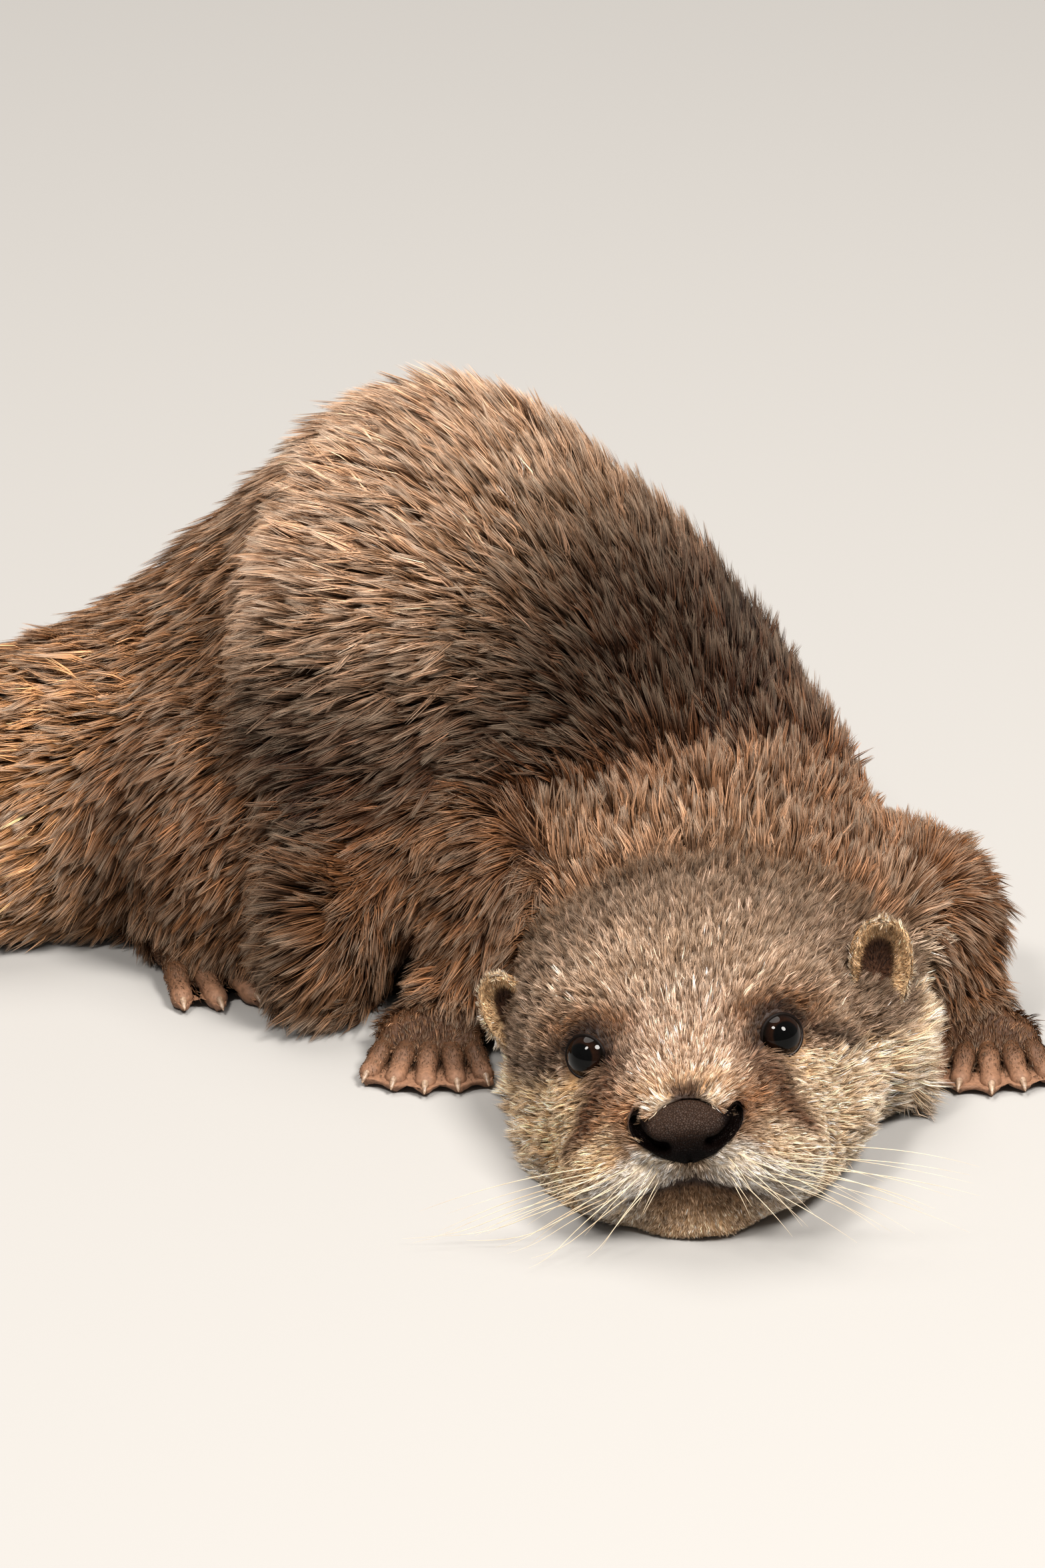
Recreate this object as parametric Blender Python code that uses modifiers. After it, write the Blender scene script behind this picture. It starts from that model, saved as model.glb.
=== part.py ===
"""Small-clawed otter at life size, lying with its chin and forearms on the floor and its back hunched.

The body is modelled whole: lofts, tubes and ellipsoids are fused by a voxel remesh, smoothed and thinned,
trimmed flat where the animal touches the floor, and then parted into its named pieces by thin cuts.
Metres, +Z up. The head looks along -Y, the trunk curls round to -X and the tail lies along the floor.
"""

import math

import bmesh
import bpy
import numpy as np
from mathutils import Euler, Matrix, Vector

# ---------------------------------------------------------------- driving dimensions
VOXEL = 0.0014          # cell of the remesh that fuses the flesh
FLESH_TRIANGLES = 2900  # what the whole fused body is thinned to
CUT_GAP = 0.0004        # width of every parting cut
FLOOR_SINK = 0.0012     # how far the soft underside is pressed past the floor before it is trimmed

# The head has its own frame, with its origin at the tip of the nose: x to the animal's left,
# y backwards along the skull, z up. It is carried by this placement.
NOSE_TIP = Vector((0.0, -0.012, 0.0275))
HEAD_YAW, HEAD_PITCH, HEAD_ROLL = math.radians(-0.3), math.radians(-5), math.radians(-7.5)

# Skull and muzzle: distance behind the nose, half width, top, underside.
HEAD_SECTIONS = [
    (0.0035, 0.0120, 0.0060, -0.0130),
    (0.008, 0.0205, 0.0090, -0.0225),
    (0.016, 0.0270, 0.0115, -0.0265),
    (0.024, 0.0303, 0.0160, -0.0278),
    (0.034, 0.0340, 0.0220, -0.0288),
    (0.046, 0.0380, 0.0268, -0.0293),
    (0.060, 0.0410, 0.0293, -0.0296),
    (0.075, 0.0418, 0.0290, -0.0290),
    (0.092, 0.0415, 0.0270, -0.0270),
]
HEAD_FORM = (0.38, 2.25, 3.0)  # height share of the widest line, fullness above it, fullness below

# Trunk and tail: place in plan, half width, underside, top. The sections stand upright.
TRUNK_SECTIONS = [
    (0.005, 0.062, 0.0400, 0.0000, 0.0470),
    (0.007, 0.087, 0.0430, 0.0000, 0.0530),
    (0.004, 0.109, 0.0445, 0.0000, 0.0645),
    (-0.007, 0.126, 0.0475, 0.0000, 0.0850),
    (-0.024, 0.141, 0.0525, 0.0000, 0.1050),
    (-0.044, 0.1515, 0.0590, 0.0000, 0.1190),
    (-0.064, 0.160, 0.0630, 0.0000, 0.1215),
    (-0.083, 0.167, 0.0620, 0.0000, 0.1110),
    (-0.101, 0.169, 0.0560, 0.0000, 0.0885),
    (-0.118, 0.166, 0.0460, 0.0000, 0.0700),
    (-0.136, 0.159, 0.0370, 0.0000, 0.0635),
    (-0.158, 0.150, 0.0310, 0.0000, 0.0585),
    (-0.188, 0.141, 0.0265, 0.0000, 0.0490),
    (-0.224, 0.137, 0.0218, 0.0000, 0.0390),
    (-0.266, 0.142, 0.0170, 0.0000, 0.0295),
    (-0.310, 0.158, 0.0125, 0.0000, 0.0215),
    (-0.348, 0.181, 0.0085, 0.0000, 0.0145),
    (-0.374, 0.203, 0.0050, 0.0000, 0.0090),
    (-0.383, 0.212, 0.0025, 0.0000, 0.0055),
]
TRUNK_FORM = (0.38, 2.15, 2.7)
BLEND_STEPS, SOFTEN_STEPS = 45, 3  # smoothing of the trunk and limbs, and of the whole
SHARP_ANGLE = math.radians(42)  # edges folded more than this, such as those of the cuts, stay sharp

# Plan stations where the trunk and tail are parted: place, and a point the cut faces along the body.
PARTINGS = {
    "neck": ((0.003, 0.103), (-0.004, 0.125)),
    "chest": ((-0.040, 0.147), (-0.060, 0.160)),
    "loin": ((-0.090, 0.168), (-0.110, 0.169)),
    "rump": ((-0.137, 0.1585), (-0.158, 0.1495)),
    "tail_base": ((-0.215, 0.1375), (-0.240, 0.138)),
    "tail_middle": ((-0.300, 0.154), (-0.325, 0.165)),
}

EYE_RADIUS = 0.0054
EYE_PLACE = Vector((0.0202, 0.0283, 0.0096))

NOSE_HALF_WIDTH, NOSE_HALF_HEIGHT = 0.0113, 0.0067
NOSE_PLACE = Vector((0.0, 0.0010, -0.0005))
# Rings of the nose pad from its root in the muzzle to its front: distance back, share of full size.
NOSE_RINGS = [(0.0070, 0.80), (0.0035, 0.98), (0.0010, 1.00), (-0.0006, 0.92), (-0.0016, 0.72), (-0.0021, 0.36)]

EAR_PLACE = Vector((0.0410, 0.0715, 0.0060))
EAR_RADII = Vector((0.0072, 0.0044, 0.0110))
EAR_TURN = (0, 14, 24)      # degrees, for the animal's left ear: top leans out, mouth turns out
EAR_WALL = 0.0012

# Opposite corners, in the head's frame, of the box that takes the head off the neck.
HEAD_BOX = ((-0.062, -0.02, -0.06), (0.062, 0.084, 0.06))
# How far each trunk cut reaches to either side, and past the body lengthways and upwards.
NECK_REACH, TRUNK_REACH, CUT_DEPTH = 0.049, 0.13, 0.16

# The jaw is parted from the skull by the top of this ellipsoid, which gives the line of the mouth.
JAW_CENTRE, JAW_RADII = (0.0, 0.0110, -0.0310), (0.0330, 0.0230, 0.0165)

# Turns round, and rings from pole to pole, of the ellipsoids that shape, of the cutters and of the eyes.
SHAPE_SIDES, CUTTER_SIDES, EYE_SIDES = (28, 18), (14, 8), (16, 9)

# ---------------------------------------------------------------- helpers
def clear_scene():
    for obj in list(bpy.data.objects):
        bpy.data.objects.remove(obj, do_unlink=True)


def material(name, colour, roughness, metallic=0.0):
    made = bpy.data.materials.new(name)
    made.use_nodes = True
    shader = made.node_tree.nodes["Principled BSDF"]
    shader.inputs["Base Color"].default_value = (*colour, 1.0)
    shader.inputs["Roughness"].default_value = roughness
    shader.inputs["Metallic"].default_value = metallic
    return made


def collection(name):
    made = bpy.data.collections.new(name)
    bpy.context.scene.collection.children.link(made)
    return made


def add_object(name, mesh, group):
    obj = bpy.data.objects.new(name, mesh)
    group.objects.link(obj)
    return obj


def evaluated_mesh(obj):
    """A mesh of the object with its modifiers applied, in world space."""
    bpy.context.view_layer.update()
    graph = bpy.context.evaluated_depsgraph_get()
    mesh = bpy.data.meshes.new_from_object(obj.evaluated_get(graph))
    mesh.transform(obj.matrix_world)
    return mesh


def settle(obj):
    """Replaces the object's mesh with what its modifiers make of it, at the origin."""
    mesh = evaluated_mesh(obj)
    obj.modifiers.clear()
    obj.data = mesh
    obj.matrix_world = Matrix.Identity(4)
    return obj


def head_frame():
    """The matrix that carries the head's own frame into the model."""
    turn = Euler((HEAD_PITCH, HEAD_ROLL, HEAD_YAW), "XYZ").to_matrix().to_4x4()
    return Matrix.Translation(NOSE_TIP) @ turn


def smooth_path(points, steps):
    """Catmull-Rom curve through rows of numbers, with this many steps between two rows."""
    rows = np.array(points, float)
    padded = np.vstack([2 * rows[0] - rows[1], rows, 2 * rows[-1] - rows[-2]])
    t = np.linspace(0, 1, steps, endpoint=False)[:, None]
    spans = []
    for a, b, c, d in zip(padded, padded[1:], padded[2:], padded[3:]):
        cubic = (3 * b - a - 3 * c + d) * t**3 + (2 * a - 5 * b + 4 * c - d) * t**2
        spans.append(0.5 * (cubic + (c - a) * t + 2 * b))
    return np.vstack([*spans, rows[-1:]])


def ring_loft(name, rings, group):
    """Closed skin over rings of points with the same count, each end closed by a fan."""
    mesh = bmesh.new()
    loops = [[mesh.verts.new(point) for point in ring] for ring in rings]
    count = len(loops[0])
    for low, high in zip(loops, loops[1:]):
        for i in range(count):
            j = (i + 1) % count
            mesh.faces.new((low[i], low[j], high[j], high[i]))
    for loop in (loops[0], loops[-1]):
        middle = mesh.verts.new(sum((v.co for v in loop), Vector()) / count)
        for i in range(count):
            mesh.faces.new((loop[i], loop[(i + 1) % count], middle))
    bmesh.ops.recalc_face_normals(mesh, faces=mesh.faces)
    data = bpy.data.meshes.new(name)
    mesh.to_mesh(data)
    mesh.free()
    return add_object(name, data, group)


def oval(half_width, low, high, form, sides=28):
    """Superellipse section as (sideways, height) pairs, its lower half fuller than its upper half."""
    widest_share, above, below = form
    angle = np.linspace(0, 2 * math.pi, sides, endpoint=False)
    power = np.where(np.sin(angle) > 0, 2 / above, 2 / below)
    side = np.sign(np.cos(angle)) * np.abs(np.cos(angle)) ** power
    rise = np.sign(np.sin(angle)) * np.abs(np.sin(angle)) ** power
    widest = low + widest_share * (high - low)
    height = np.where(rise > 0, widest + rise * (high - widest), widest + rise * (widest - low))
    return side * half_width, height


def ellipsoid(name, centre, radii, group, turn=(0, 0, 0), frame=None, sides=SHAPE_SIDES):
    """An ellipsoid from a unit sphere. turn is in degrees; frame carries it, such as the head's."""
    mesh = bmesh.new()
    bmesh.ops.create_uvsphere(mesh, u_segments=sides[0], v_segments=sides[1], radius=1.0)
    angles = Euler([math.radians(a) for a in turn], "XYZ").to_matrix().to_4x4()
    placed = Matrix.Translation(Vector(centre)) @ angles @ Matrix.Diagonal((*radii, 1.0))
    bmesh.ops.transform(mesh, matrix=(frame or Matrix.Identity(4)) @ placed, verts=mesh.verts)
    data = bpy.data.meshes.new(name)
    mesh.to_mesh(data)
    mesh.free()
    return add_object(name, data, group)


def tube(name, points, group, resolution=6):
    """A round limb through rows of x, y, z and radius, with rounded ends, as one closed mesh."""
    curve = bpy.data.curves.new(name, "CURVE")
    curve.dimensions = "3D"
    curve.bevel_depth = 1.0
    curve.bevel_resolution = 5
    curve.use_fill_caps = True
    rows = smooth_path(points, resolution)
    spline = curve.splines.new("POLY")
    spline.points.add(len(rows) - 1)
    for point, (x, y, z, radius) in zip(spline.points, rows):
        point.co = (x, y, z, 1.0)
        point.radius = radius
    guide = add_object(name + "_line", curve, group)
    mesh = evaluated_mesh(guide)
    bpy.data.objects.remove(guide, do_unlink=True)
    body = bmesh.new()
    body.from_mesh(mesh)
    bmesh.ops.remove_doubles(body, verts=body.verts, dist=1e-6)
    for row in (rows[0], rows[-1]):
        ball = Matrix.Translation(row[:3]) @ Matrix.Scale(row[3] * 0.98, 4)
        bmesh.ops.create_uvsphere(body, u_segments=16, v_segments=10, radius=1.0, matrix=ball)
    body.to_mesh(mesh)
    body.free()
    return add_object(name, mesh, group)


def join(name, objects, group):
    """All the objects' faces in one mesh. The sources are removed."""
    whole = bmesh.new()
    for obj in objects:
        whole.from_mesh(evaluated_mesh(obj))
        bpy.data.objects.remove(obj, do_unlink=True)
    data = bpy.data.meshes.new(name)
    whole.to_mesh(data)
    whole.free()
    return add_object(name, data, group)


def boolean(obj, cutter, operation):
    step = obj.modifiers.new(operation.title(), "BOOLEAN")
    step.operation = operation
    step.object = cutter
    step.solver = "EXACT"


def box(name, low, high, group, frame=None):
    """A box between two corners, as a cutter."""
    mesh = bmesh.new()
    bmesh.ops.create_cube(mesh, size=1.0)
    low, high = Vector(low), Vector(high)
    size = Matrix.Diagonal((*(high - low), 1.0))
    placed = Matrix.Translation((low + high) / 2) @ size
    bmesh.ops.transform(mesh, matrix=(frame or Matrix.Identity(4)) @ placed, verts=mesh.verts)
    data = bpy.data.meshes.new(name)
    mesh.to_mesh(data)
    mesh.free()
    return as_cutter(add_object(name, data, group))


def as_cutter(obj):
    obj.hide_render = True
    obj.display_type = "WIRE"
    return obj


# ---------------------------------------------------------------- flesh
# Extra volumes of the head: place, radii, and turn in degrees, for the animal's left side.
FACE_VOLUMES = {
    "whisker_pad": ((0.0138, 0.0140, -0.0088), (0.0154, 0.0128, 0.0090), (0, 0, -22)),
    "cheek": ((0.0252, 0.0450, -0.0125), (0.0145, 0.0270, 0.0135), (0, 0, -10)),
    "brow": ((0.0180, 0.0350, 0.0125), (0.0088, 0.0105, 0.0062), (0, 25, 10)),
    "jowl": ((0.0185, 0.0300, -0.0185), (0.0135, 0.0200, 0.0085), (0, 0, -22)),
}
# Extra volumes of the trunk, in the model's frame.
TRUNK_VOLUMES = {
    "right_ribs": ((-0.0770, 0.1120, 0.021), (0.0175, 0.0300, 0.028), (0, 0, -8)),
    "right_haunch": ((-0.1000, 0.1360, 0.031), (0.0285, 0.0320, 0.035), (0, 0, 0)),
    "left_haunch": ((-0.084, 0.192, 0.034), (0.038, 0.030, 0.036), (0, 0, -8)),
    "right_shoulder": ((-0.0330, 0.1020, 0.031), (0.0235, 0.0220, 0.026), (0, 0, 0)),
    "left_shoulder": ((0.0460, 0.1000, 0.023), (0.0250, 0.0260, 0.023), (0, 0, 0)),
    "left_throat": ((0.0300, 0.0600, 0.017), (0.0240, 0.0290, 0.0195), (0, 0, 0)),
}


def head_flesh(group):
    """Skull and muzzle loft with cheeks, whisker pads, brows and chin, in the head's own frame."""
    frame = head_frame()
    rings = []
    for back, half_width, top, under in smooth_path(HEAD_SECTIONS, 3):
        side, height = oval(half_width, under, top, HEAD_FORM)
        rings.append([frame @ Vector((x, back, z)) for x, z in zip(side, height)])
    parts = [ring_loft("skull", rings, group)]
    for label, ((x, y, z), radii, (a, b, c)) in FACE_VOLUMES.items():
        for side in (-1, 1):
            turn = (a, b * side, c * side)
            parts.append(ellipsoid(label, (x * side, y, z), radii, group, turn, frame))
    parts.append(ellipsoid("chin", (0, 0.0160, -0.0200), (0.0170, 0.0120, 0.0085), group, frame=frame))
    parts.append(ellipsoid("bridge", (0, 0.0170, 0.0020), (0.0125, 0.0150, 0.0085), group, frame=frame))
    return parts


def trunk_flesh(group):
    """Neck, trunk and tail as one loft of upright sections along a curve in plan."""
    rows = smooth_path(TRUNK_SECTIONS, 4)
    heading = np.gradient(rows[:, :2], axis=0)
    heading /= np.linalg.norm(heading, axis=1)[:, None]
    rings = []
    for (x, y, half_width, low, high), (dx, dy) in zip(rows, heading):
        side, height = oval(half_width, low - FLOOR_SINK, high, TRUNK_FORM, sides=36)
        rings.append([Vector((x + s * dy, y - s * dx, z)) for s, z in zip(side, height)])
    parts = [ring_loft("trunk_and_tail", rings, group)]
    for label, (place, radii, turn) in TRUNK_VOLUMES.items():
        parts.append(ellipsoid(label, place, radii, group, turn))
    return parts


def paw_flesh(label, wrist, heading, length, width, group):
    """Flat palm and five short spread toes on the floor. heading is the way the toes point, in plan."""
    parts = []
    placed = Matrix.Translation(wrist) @ Matrix.Rotation(heading, 4, "Z")
    palm_radii = (width * 0.50, length * 0.36, 0.0066)
    parts.append(ellipsoid(label + "_palm", (0, length * 0.30, 0.0050), palm_radii, group, frame=placed))
    for i in range(5):
        spread = (i - 2) / 2
        toe_length = length * (0.56 - 0.12 * abs(spread) ** 1.5)
        root = Vector((spread * width * 0.36, length * 0.40, 0.0050))
        lean = Vector((math.sin(spread * 0.34), math.cos(spread * 0.34), 0.0))
        knuckle = root + lean * toe_length * 0.5 + Vector((0, 0, 0.0004))
        tip = root + lean * toe_length + Vector((0, 0, -0.0027))
        rows = []
        for point, radius in ((root, 0.0031), (knuckle, 0.0028), (tip, 0.0027)):
            rows.append((*(placed @ point), radius))
        parts.append(tube(f"{label}_toe{i}", rows, group, resolution=3))
    return parts


# Each leg: the tube through shoulder or hip down to the wrist or ankle, as rows of x, y, z and
# radius, then its paw's wrist, the way it points, its length and its width.
LEGS = {
    "right_foreleg": {
        "line": [
            (-0.035, 0.105, 0.032, 0.0205),
            (-0.040, 0.097, 0.024, 0.0190),
            (-0.0445, 0.093, 0.015, 0.0160),
            (-0.0510, 0.087, 0.0095, 0.0110),
        ],
        "paw": (Vector((-0.0560, 0.089, 0.0)), math.radians(178), 0.031, 0.024),
        "region": ((-0.047, 0.092, 0.022), (0.0235, 0.024, 0.034)),
    },
    "left_foreleg": {
        "line": [
            (0.043, 0.102, 0.020, 0.0220),
            (0.049, 0.096, 0.019, 0.0215),
            (0.056, 0.094, 0.014, 0.0165),
            (0.0610, 0.088, 0.0095, 0.0110),
        ],
        "paw": (Vector((0.0650, 0.091, 0.0)), math.radians(182), 0.031, 0.024),
        "region": ((0.063, 0.098, 0.020), (0.027, 0.026, 0.030)),
    },
    "right_hindleg": {
        "line": [
            (-0.097, 0.146, 0.040, 0.0260),
            (-0.097, 0.134, 0.028, 0.0240),
            (-0.102, 0.128, 0.016, 0.0175),
            (-0.114, 0.132, 0.0105, 0.0115),
        ],
        "paw": (Vector((-0.115, 0.136, 0.0)), math.radians(-150), 0.042, 0.026),
        "region": ((-0.103, 0.122, 0.030), (0.0335, 0.034, 0.042)),
    },
    "left_hindleg": {
        "line": [
            (-0.080, 0.190, 0.040, 0.0280),
            (-0.070, 0.200, 0.028, 0.0250),
            (-0.072, 0.208, 0.016, 0.0180),
            (-0.086, 0.211, 0.0105, 0.0115),
        ],
        "paw": (Vector((-0.092, 0.209, 0.0)), math.radians(-58), 0.042, 0.026),
        "region": ((-0.078, 0.214, 0.030), (0.046, 0.030, 0.042)),
    },
}
PAW_START, PAW_REACH, PAW_HEIGHT, PAW_SPAN = 0.16, 1.35, 0.0145, 0.66  # box that takes a paw off its leg


def body_weights(obj):
    """Vertex group of what may be smoothed hard: all but the face and the paws."""
    places = np.empty(len(obj.data.vertices) * 3)
    obj.data.vertices.foreach_get("co", places)
    places = places.reshape(-1, 3)
    weight = np.clip((places[:, 1] - 0.060) / 0.030, 0.12, 1)
    weight *= np.clip((places[:, 2] - 0.012) / 0.012, 0, 1)
    group = obj.vertex_groups.new(name="body")
    for level in range(1, 11):
        chosen = np.nonzero(np.ceil(weight * 10).astype(int) == level)[0]
        group.add(chosen.tolist(), level / 10, "REPLACE")
    return group.name


def smoothing(obj, name, iterations, weights=""):
    step = obj.modifiers.new(name, "SMOOTH")
    step.factor = 0.5
    step.iterations = iterations
    step.vertex_group = weights


def flesh(group):
    """The whole body in one closed, smoothed and thinned mesh, trimmed flat at the floor."""
    parts = head_flesh(group) + trunk_flesh(group)
    for label, leg in LEGS.items():
        parts.append(tube(label, leg["line"], group))
        parts += paw_flesh(label, *leg["paw"], group)
    whole = join("flesh", parts, group)
    fuse = whole.modifiers.new("Fuse", "REMESH")
    fuse.mode = "VOXEL"
    fuse.voxel_size = VOXEL
    smoothing(whole, "Soften", SOFTEN_STEPS)
    settle(whole)
    smoothing(whole, "Blend", BLEND_STEPS, body_weights(whole))
    settle(whole)
    thin = whole.modifiers.new("Thin", "DECIMATE")
    thin.ratio = FLESH_TRIANGLES / triangle_count(whole)
    settle(whole)
    floor = box("floor", (-0.6, -0.3, -0.05), (0.4, 0.5, 0.0), group)
    boolean(whole, floor, "DIFFERENCE")
    settle(whole)
    bpy.data.objects.remove(floor, do_unlink=True)
    return whole


def triangle_count(obj):
    return sum(len(face.vertices) - 2 for face in obj.data.polygons)


# ---------------------------------------------------------------- parting
def largest_island(obj):
    """Keeps the object's largest connected part and drops any crumbs the cuts have left."""
    mesh = bmesh.new()
    mesh.from_mesh(obj.data)
    unseen = set(mesh.verts)
    islands = []
    while unseen:
        island = set()
        front = [unseen.pop()]
        while front:
            vert = front.pop()
            island.add(vert)
            near = [edge.other_vert(vert) for edge in vert.link_edges]
            fresh = [other for other in near if other in unseen]
            unseen.difference_update(fresh)
            front.extend(fresh)
        islands.append(island)
    islands.sort(key=len)
    crumbs = [vert for island in islands[:-1] for vert in island]
    bmesh.ops.delete(mesh, geom=crumbs, context="VERTS")
    mesh.to_mesh(obj.data)
    mesh.free()


def carve(rest, name, region, wider_region):
    """Takes what lies in the region out of rest, as a new object, and leaves a thin gap round it."""
    piece = add_object(name, rest.data.copy(), rest.users_collection[0])
    boolean(piece, region, "INTERSECT")
    settle(piece)
    boolean(rest, wider_region, "DIFFERENCE")
    settle(rest)
    largest_island(piece)
    largest_island(rest)
    return piece


def carve_box(rest, name, low, high, frame, helpers):
    """Carves by a box in a frame. The gap is on every side of the box."""
    gap = Vector((CUT_GAP, CUT_GAP, CUT_GAP))
    region = box(name + "_region", low, high, helpers, frame)
    wider = box(name + "_gap", Vector(low) - gap, Vector(high) + gap, helpers, frame)
    return carve(rest, name, region, wider)


def carve_ellipsoid(rest, name, centre, radii, helpers, frame=None):
    """Carves by an ellipsoid. The gap is all round it."""
    region = ellipsoid(name + "_region", centre, radii, helpers, frame=frame, sides=CUTTER_SIDES)
    wide_radii = [radius + CUT_GAP for radius in radii]
    wider = ellipsoid(name + "_gap", centre, wide_radii, helpers, frame=frame, sides=CUTTER_SIDES)
    return carve(rest, name, as_cutter(region), as_cutter(wider))


def plan_frame(place, toward):
    """Upright frame at a place in plan, whose y axis points toward the second place."""
    (x, y), (tx, ty) = place, toward
    return Matrix.Translation((x, y, 0.0)) @ Matrix.Rotation(math.atan2(ty - y, tx - x) - math.pi / 2, 4, "Z")


def part_legs(rest, helpers):
    """Takes the four legs off the body, each with its paw as a piece of its own."""
    pieces = []
    for label, leg in LEGS.items():
        wrist, heading, length, width = leg["paw"]
        frame = Matrix.Translation(wrist) @ Matrix.Rotation(heading, 4, "Z")
        low = (-width * PAW_SPAN, length * PAW_START, -0.01)
        high = (width * PAW_SPAN, length * PAW_REACH, PAW_HEIGHT)
        paw = label.replace("foreleg", "forepaw").replace("hindleg", "hindpaw")
        pieces.append(carve_box(rest, paw, low, high, frame, helpers))
        pieces.append(carve_ellipsoid(rest, label, *leg["region"], helpers))
    return pieces


def part_head(rest, helpers):
    """Takes the head off the neck and the jaw off the head."""
    frame = head_frame()
    skull = carve_box(rest, "skull", *HEAD_BOX, frame, helpers)
    jaw = carve_ellipsoid(skull, "jaw", JAW_CENTRE, JAW_RADII, helpers, frame)
    return [skull, jaw]


def part_trunk(rest, helpers):
    """Parts neck, trunk and tail by upright cuts. What is left over at the end is the tail's tip."""
    pieces = []
    for label, (place, toward) in PARTINGS.items():
        reach = NECK_REACH if label == "neck" else TRUNK_REACH
        low, high = (-reach, -CUT_DEPTH, -0.01), (reach, 0.0, CUT_DEPTH)
        pieces.append(carve_box(rest, label, low, high, plan_frame(place, toward), helpers))
    rest.name = "tail_tip"
    return pieces + [rest]


# ---------------------------------------------------------------- eyes, nose and ears
def eyeball(name, side, group, clearance=0.0):
    place = (EYE_PLACE.x * side, EYE_PLACE.y, EYE_PLACE.z)
    radii = [EYE_RADIUS + clearance] * 3
    return ellipsoid(name, place, radii, group, frame=head_frame(), sides=EYE_SIDES)


def nose_pad(name, group, clearance=0.0):
    """Broad pad with a rounded V for its lower edge, swelling forward out of the muzzle."""
    frame = head_frame()
    angle = np.linspace(0, 2 * math.pi, 20, endpoint=False)
    across = np.sign(np.cos(angle)) * np.abs(np.cos(angle)) ** 0.80
    rise = np.sign(np.sin(angle)) * np.abs(np.sin(angle)) ** 0.90
    across = across * np.where(rise < 0, 1 - 0.40 * np.abs(rise) ** 1.2, 1.0)
    rings = []
    for back, share in NOSE_RINGS:
        x = across * (NOSE_HALF_WIDTH * share + clearance)
        z = rise * (NOSE_HALF_HEIGHT * share + clearance)
        y = back + (clearance if back > 0.004 else 0.0)
        rings.append([frame @ (NOSE_PLACE + Vector((px, y, pz))) for px, pz in zip(x, z)])
    return ring_loft(name, rings, group)


def ear(name, side, group):
    """Rounded cup: an ellipsoid hollowed from the front by a smaller one."""
    frame = head_frame()
    x, y, z = EAR_PLACE
    a, b, c = EAR_TURN
    turn = (a, b * side, c * side)
    shell = ellipsoid(name, (x * side, y, z), EAR_RADII, group, turn, frame, CUTTER_SIDES)
    spin = Euler([math.radians(value) for value in turn], "XYZ").to_matrix()
    forward = spin @ Vector((0, -EAR_RADII.y * 0.85, 0.0006))
    inner_radii = EAR_RADII - Vector((EAR_WALL * 1.4, EAR_WALL * 0.3, EAR_WALL * 1.8))
    inner_place = Vector((x * side, y, z)) + forward
    hollow = ellipsoid(name + "_hollow", inner_place, inner_radii, group, turn, frame, CUTTER_SIDES)
    boolean(shell, hollow, "DIFFERENCE")
    settle(shell)
    bpy.data.objects.remove(hollow, do_unlink=True)
    return shell


def ear_room(name, side, group):
    """The ear's outer form grown by the parting gap, which makes room for it in the head."""
    x, y, z = EAR_PLACE
    a, b, c = EAR_TURN
    radii = EAR_RADII + Vector((CUT_GAP, CUT_GAP, CUT_GAP))
    turn = (a, b * side, c * side)
    return ellipsoid(name, (x * side, y, z), radii, group, turn, head_frame(), CUTTER_SIDES)


def face_pieces(skull, helpers):
    """Eyes, nose pad and ears, each let into the skull with a thin gap."""
    pieces = [nose_pad("nose_pad", helpers)]
    rooms = [nose_pad("nose_room", helpers, CUT_GAP)]
    for label, side in (("left", 1), ("right", -1)):
        pieces.append(eyeball(label + "_eye", side, helpers))
        pieces.append(ear(label + "_ear", side, helpers))
        rooms.append(eyeball(label + "_socket", side, helpers, CUT_GAP))
        rooms.append(ear_room(label + "_ear_room", side, helpers))
    for room in rooms:
        boolean(skull, as_cutter(room), "DIFFERENCE")
        settle(skull)
    largest_island(skull)
    return pieces


# ---------------------------------------------------------------- assembly
def finish(pieces, group):
    """Shades, colours and files the pieces, and moves the model's underside centre to the origin."""
    materials = {
        "coat": material("otter_coat", (0.235, 0.140, 0.080), 0.85),
        "eye": material("otter_eye", (0.010, 0.006, 0.004), 0.08),
        "nose": material("otter_nose", (0.070, 0.042, 0.030), 0.45),
        "skin": material("otter_paw_skin", (0.420, 0.290, 0.210), 0.60),
    }
    corners = np.array([obj.matrix_world @ Vector(corner) for obj in pieces for corner in obj.bound_box])
    low, high = corners.min(axis=0), corners.max(axis=0)
    home = Matrix.Translation((-(low[0] + high[0]) / 2, -(low[1] + high[1]) / 2, 0.0))
    for obj in pieces:
        obj.data.transform(home)
        obj.data.materials.clear()
        slot = "coat"
        slot = "eye" if obj.name.endswith("_eye") else slot
        slot = "nose" if obj.name == "nose_pad" else slot
        slot = "skin" if obj.name.endswith("paw") else slot
        obj.data.materials.append(materials[slot])
        obj.data.polygons.foreach_set("use_smooth", [True] * len(obj.data.polygons))
        obj.data.set_sharp_from_angle(angle=SHARP_ANGLE)
        for old in list(obj.users_collection):
            old.objects.unlink(obj)
        group.objects.link(obj)


def main():
    clear_scene()
    animal = collection("small_clawed_otter")
    helpers = collection("cutters")
    rest = flesh(helpers)
    pieces = part_legs(rest, helpers)
    head = part_head(rest, helpers)
    pieces += face_pieces(head[0], helpers) + head
    pieces += part_trunk(rest, helpers)
    finish(pieces, animal)


main()
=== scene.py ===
import math

import bpy
import numpy as np
from mathutils import Euler, Matrix, Vector
from mathutils.bvhtree import BVHTree
from mathutils.kdtree import KDTree


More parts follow.
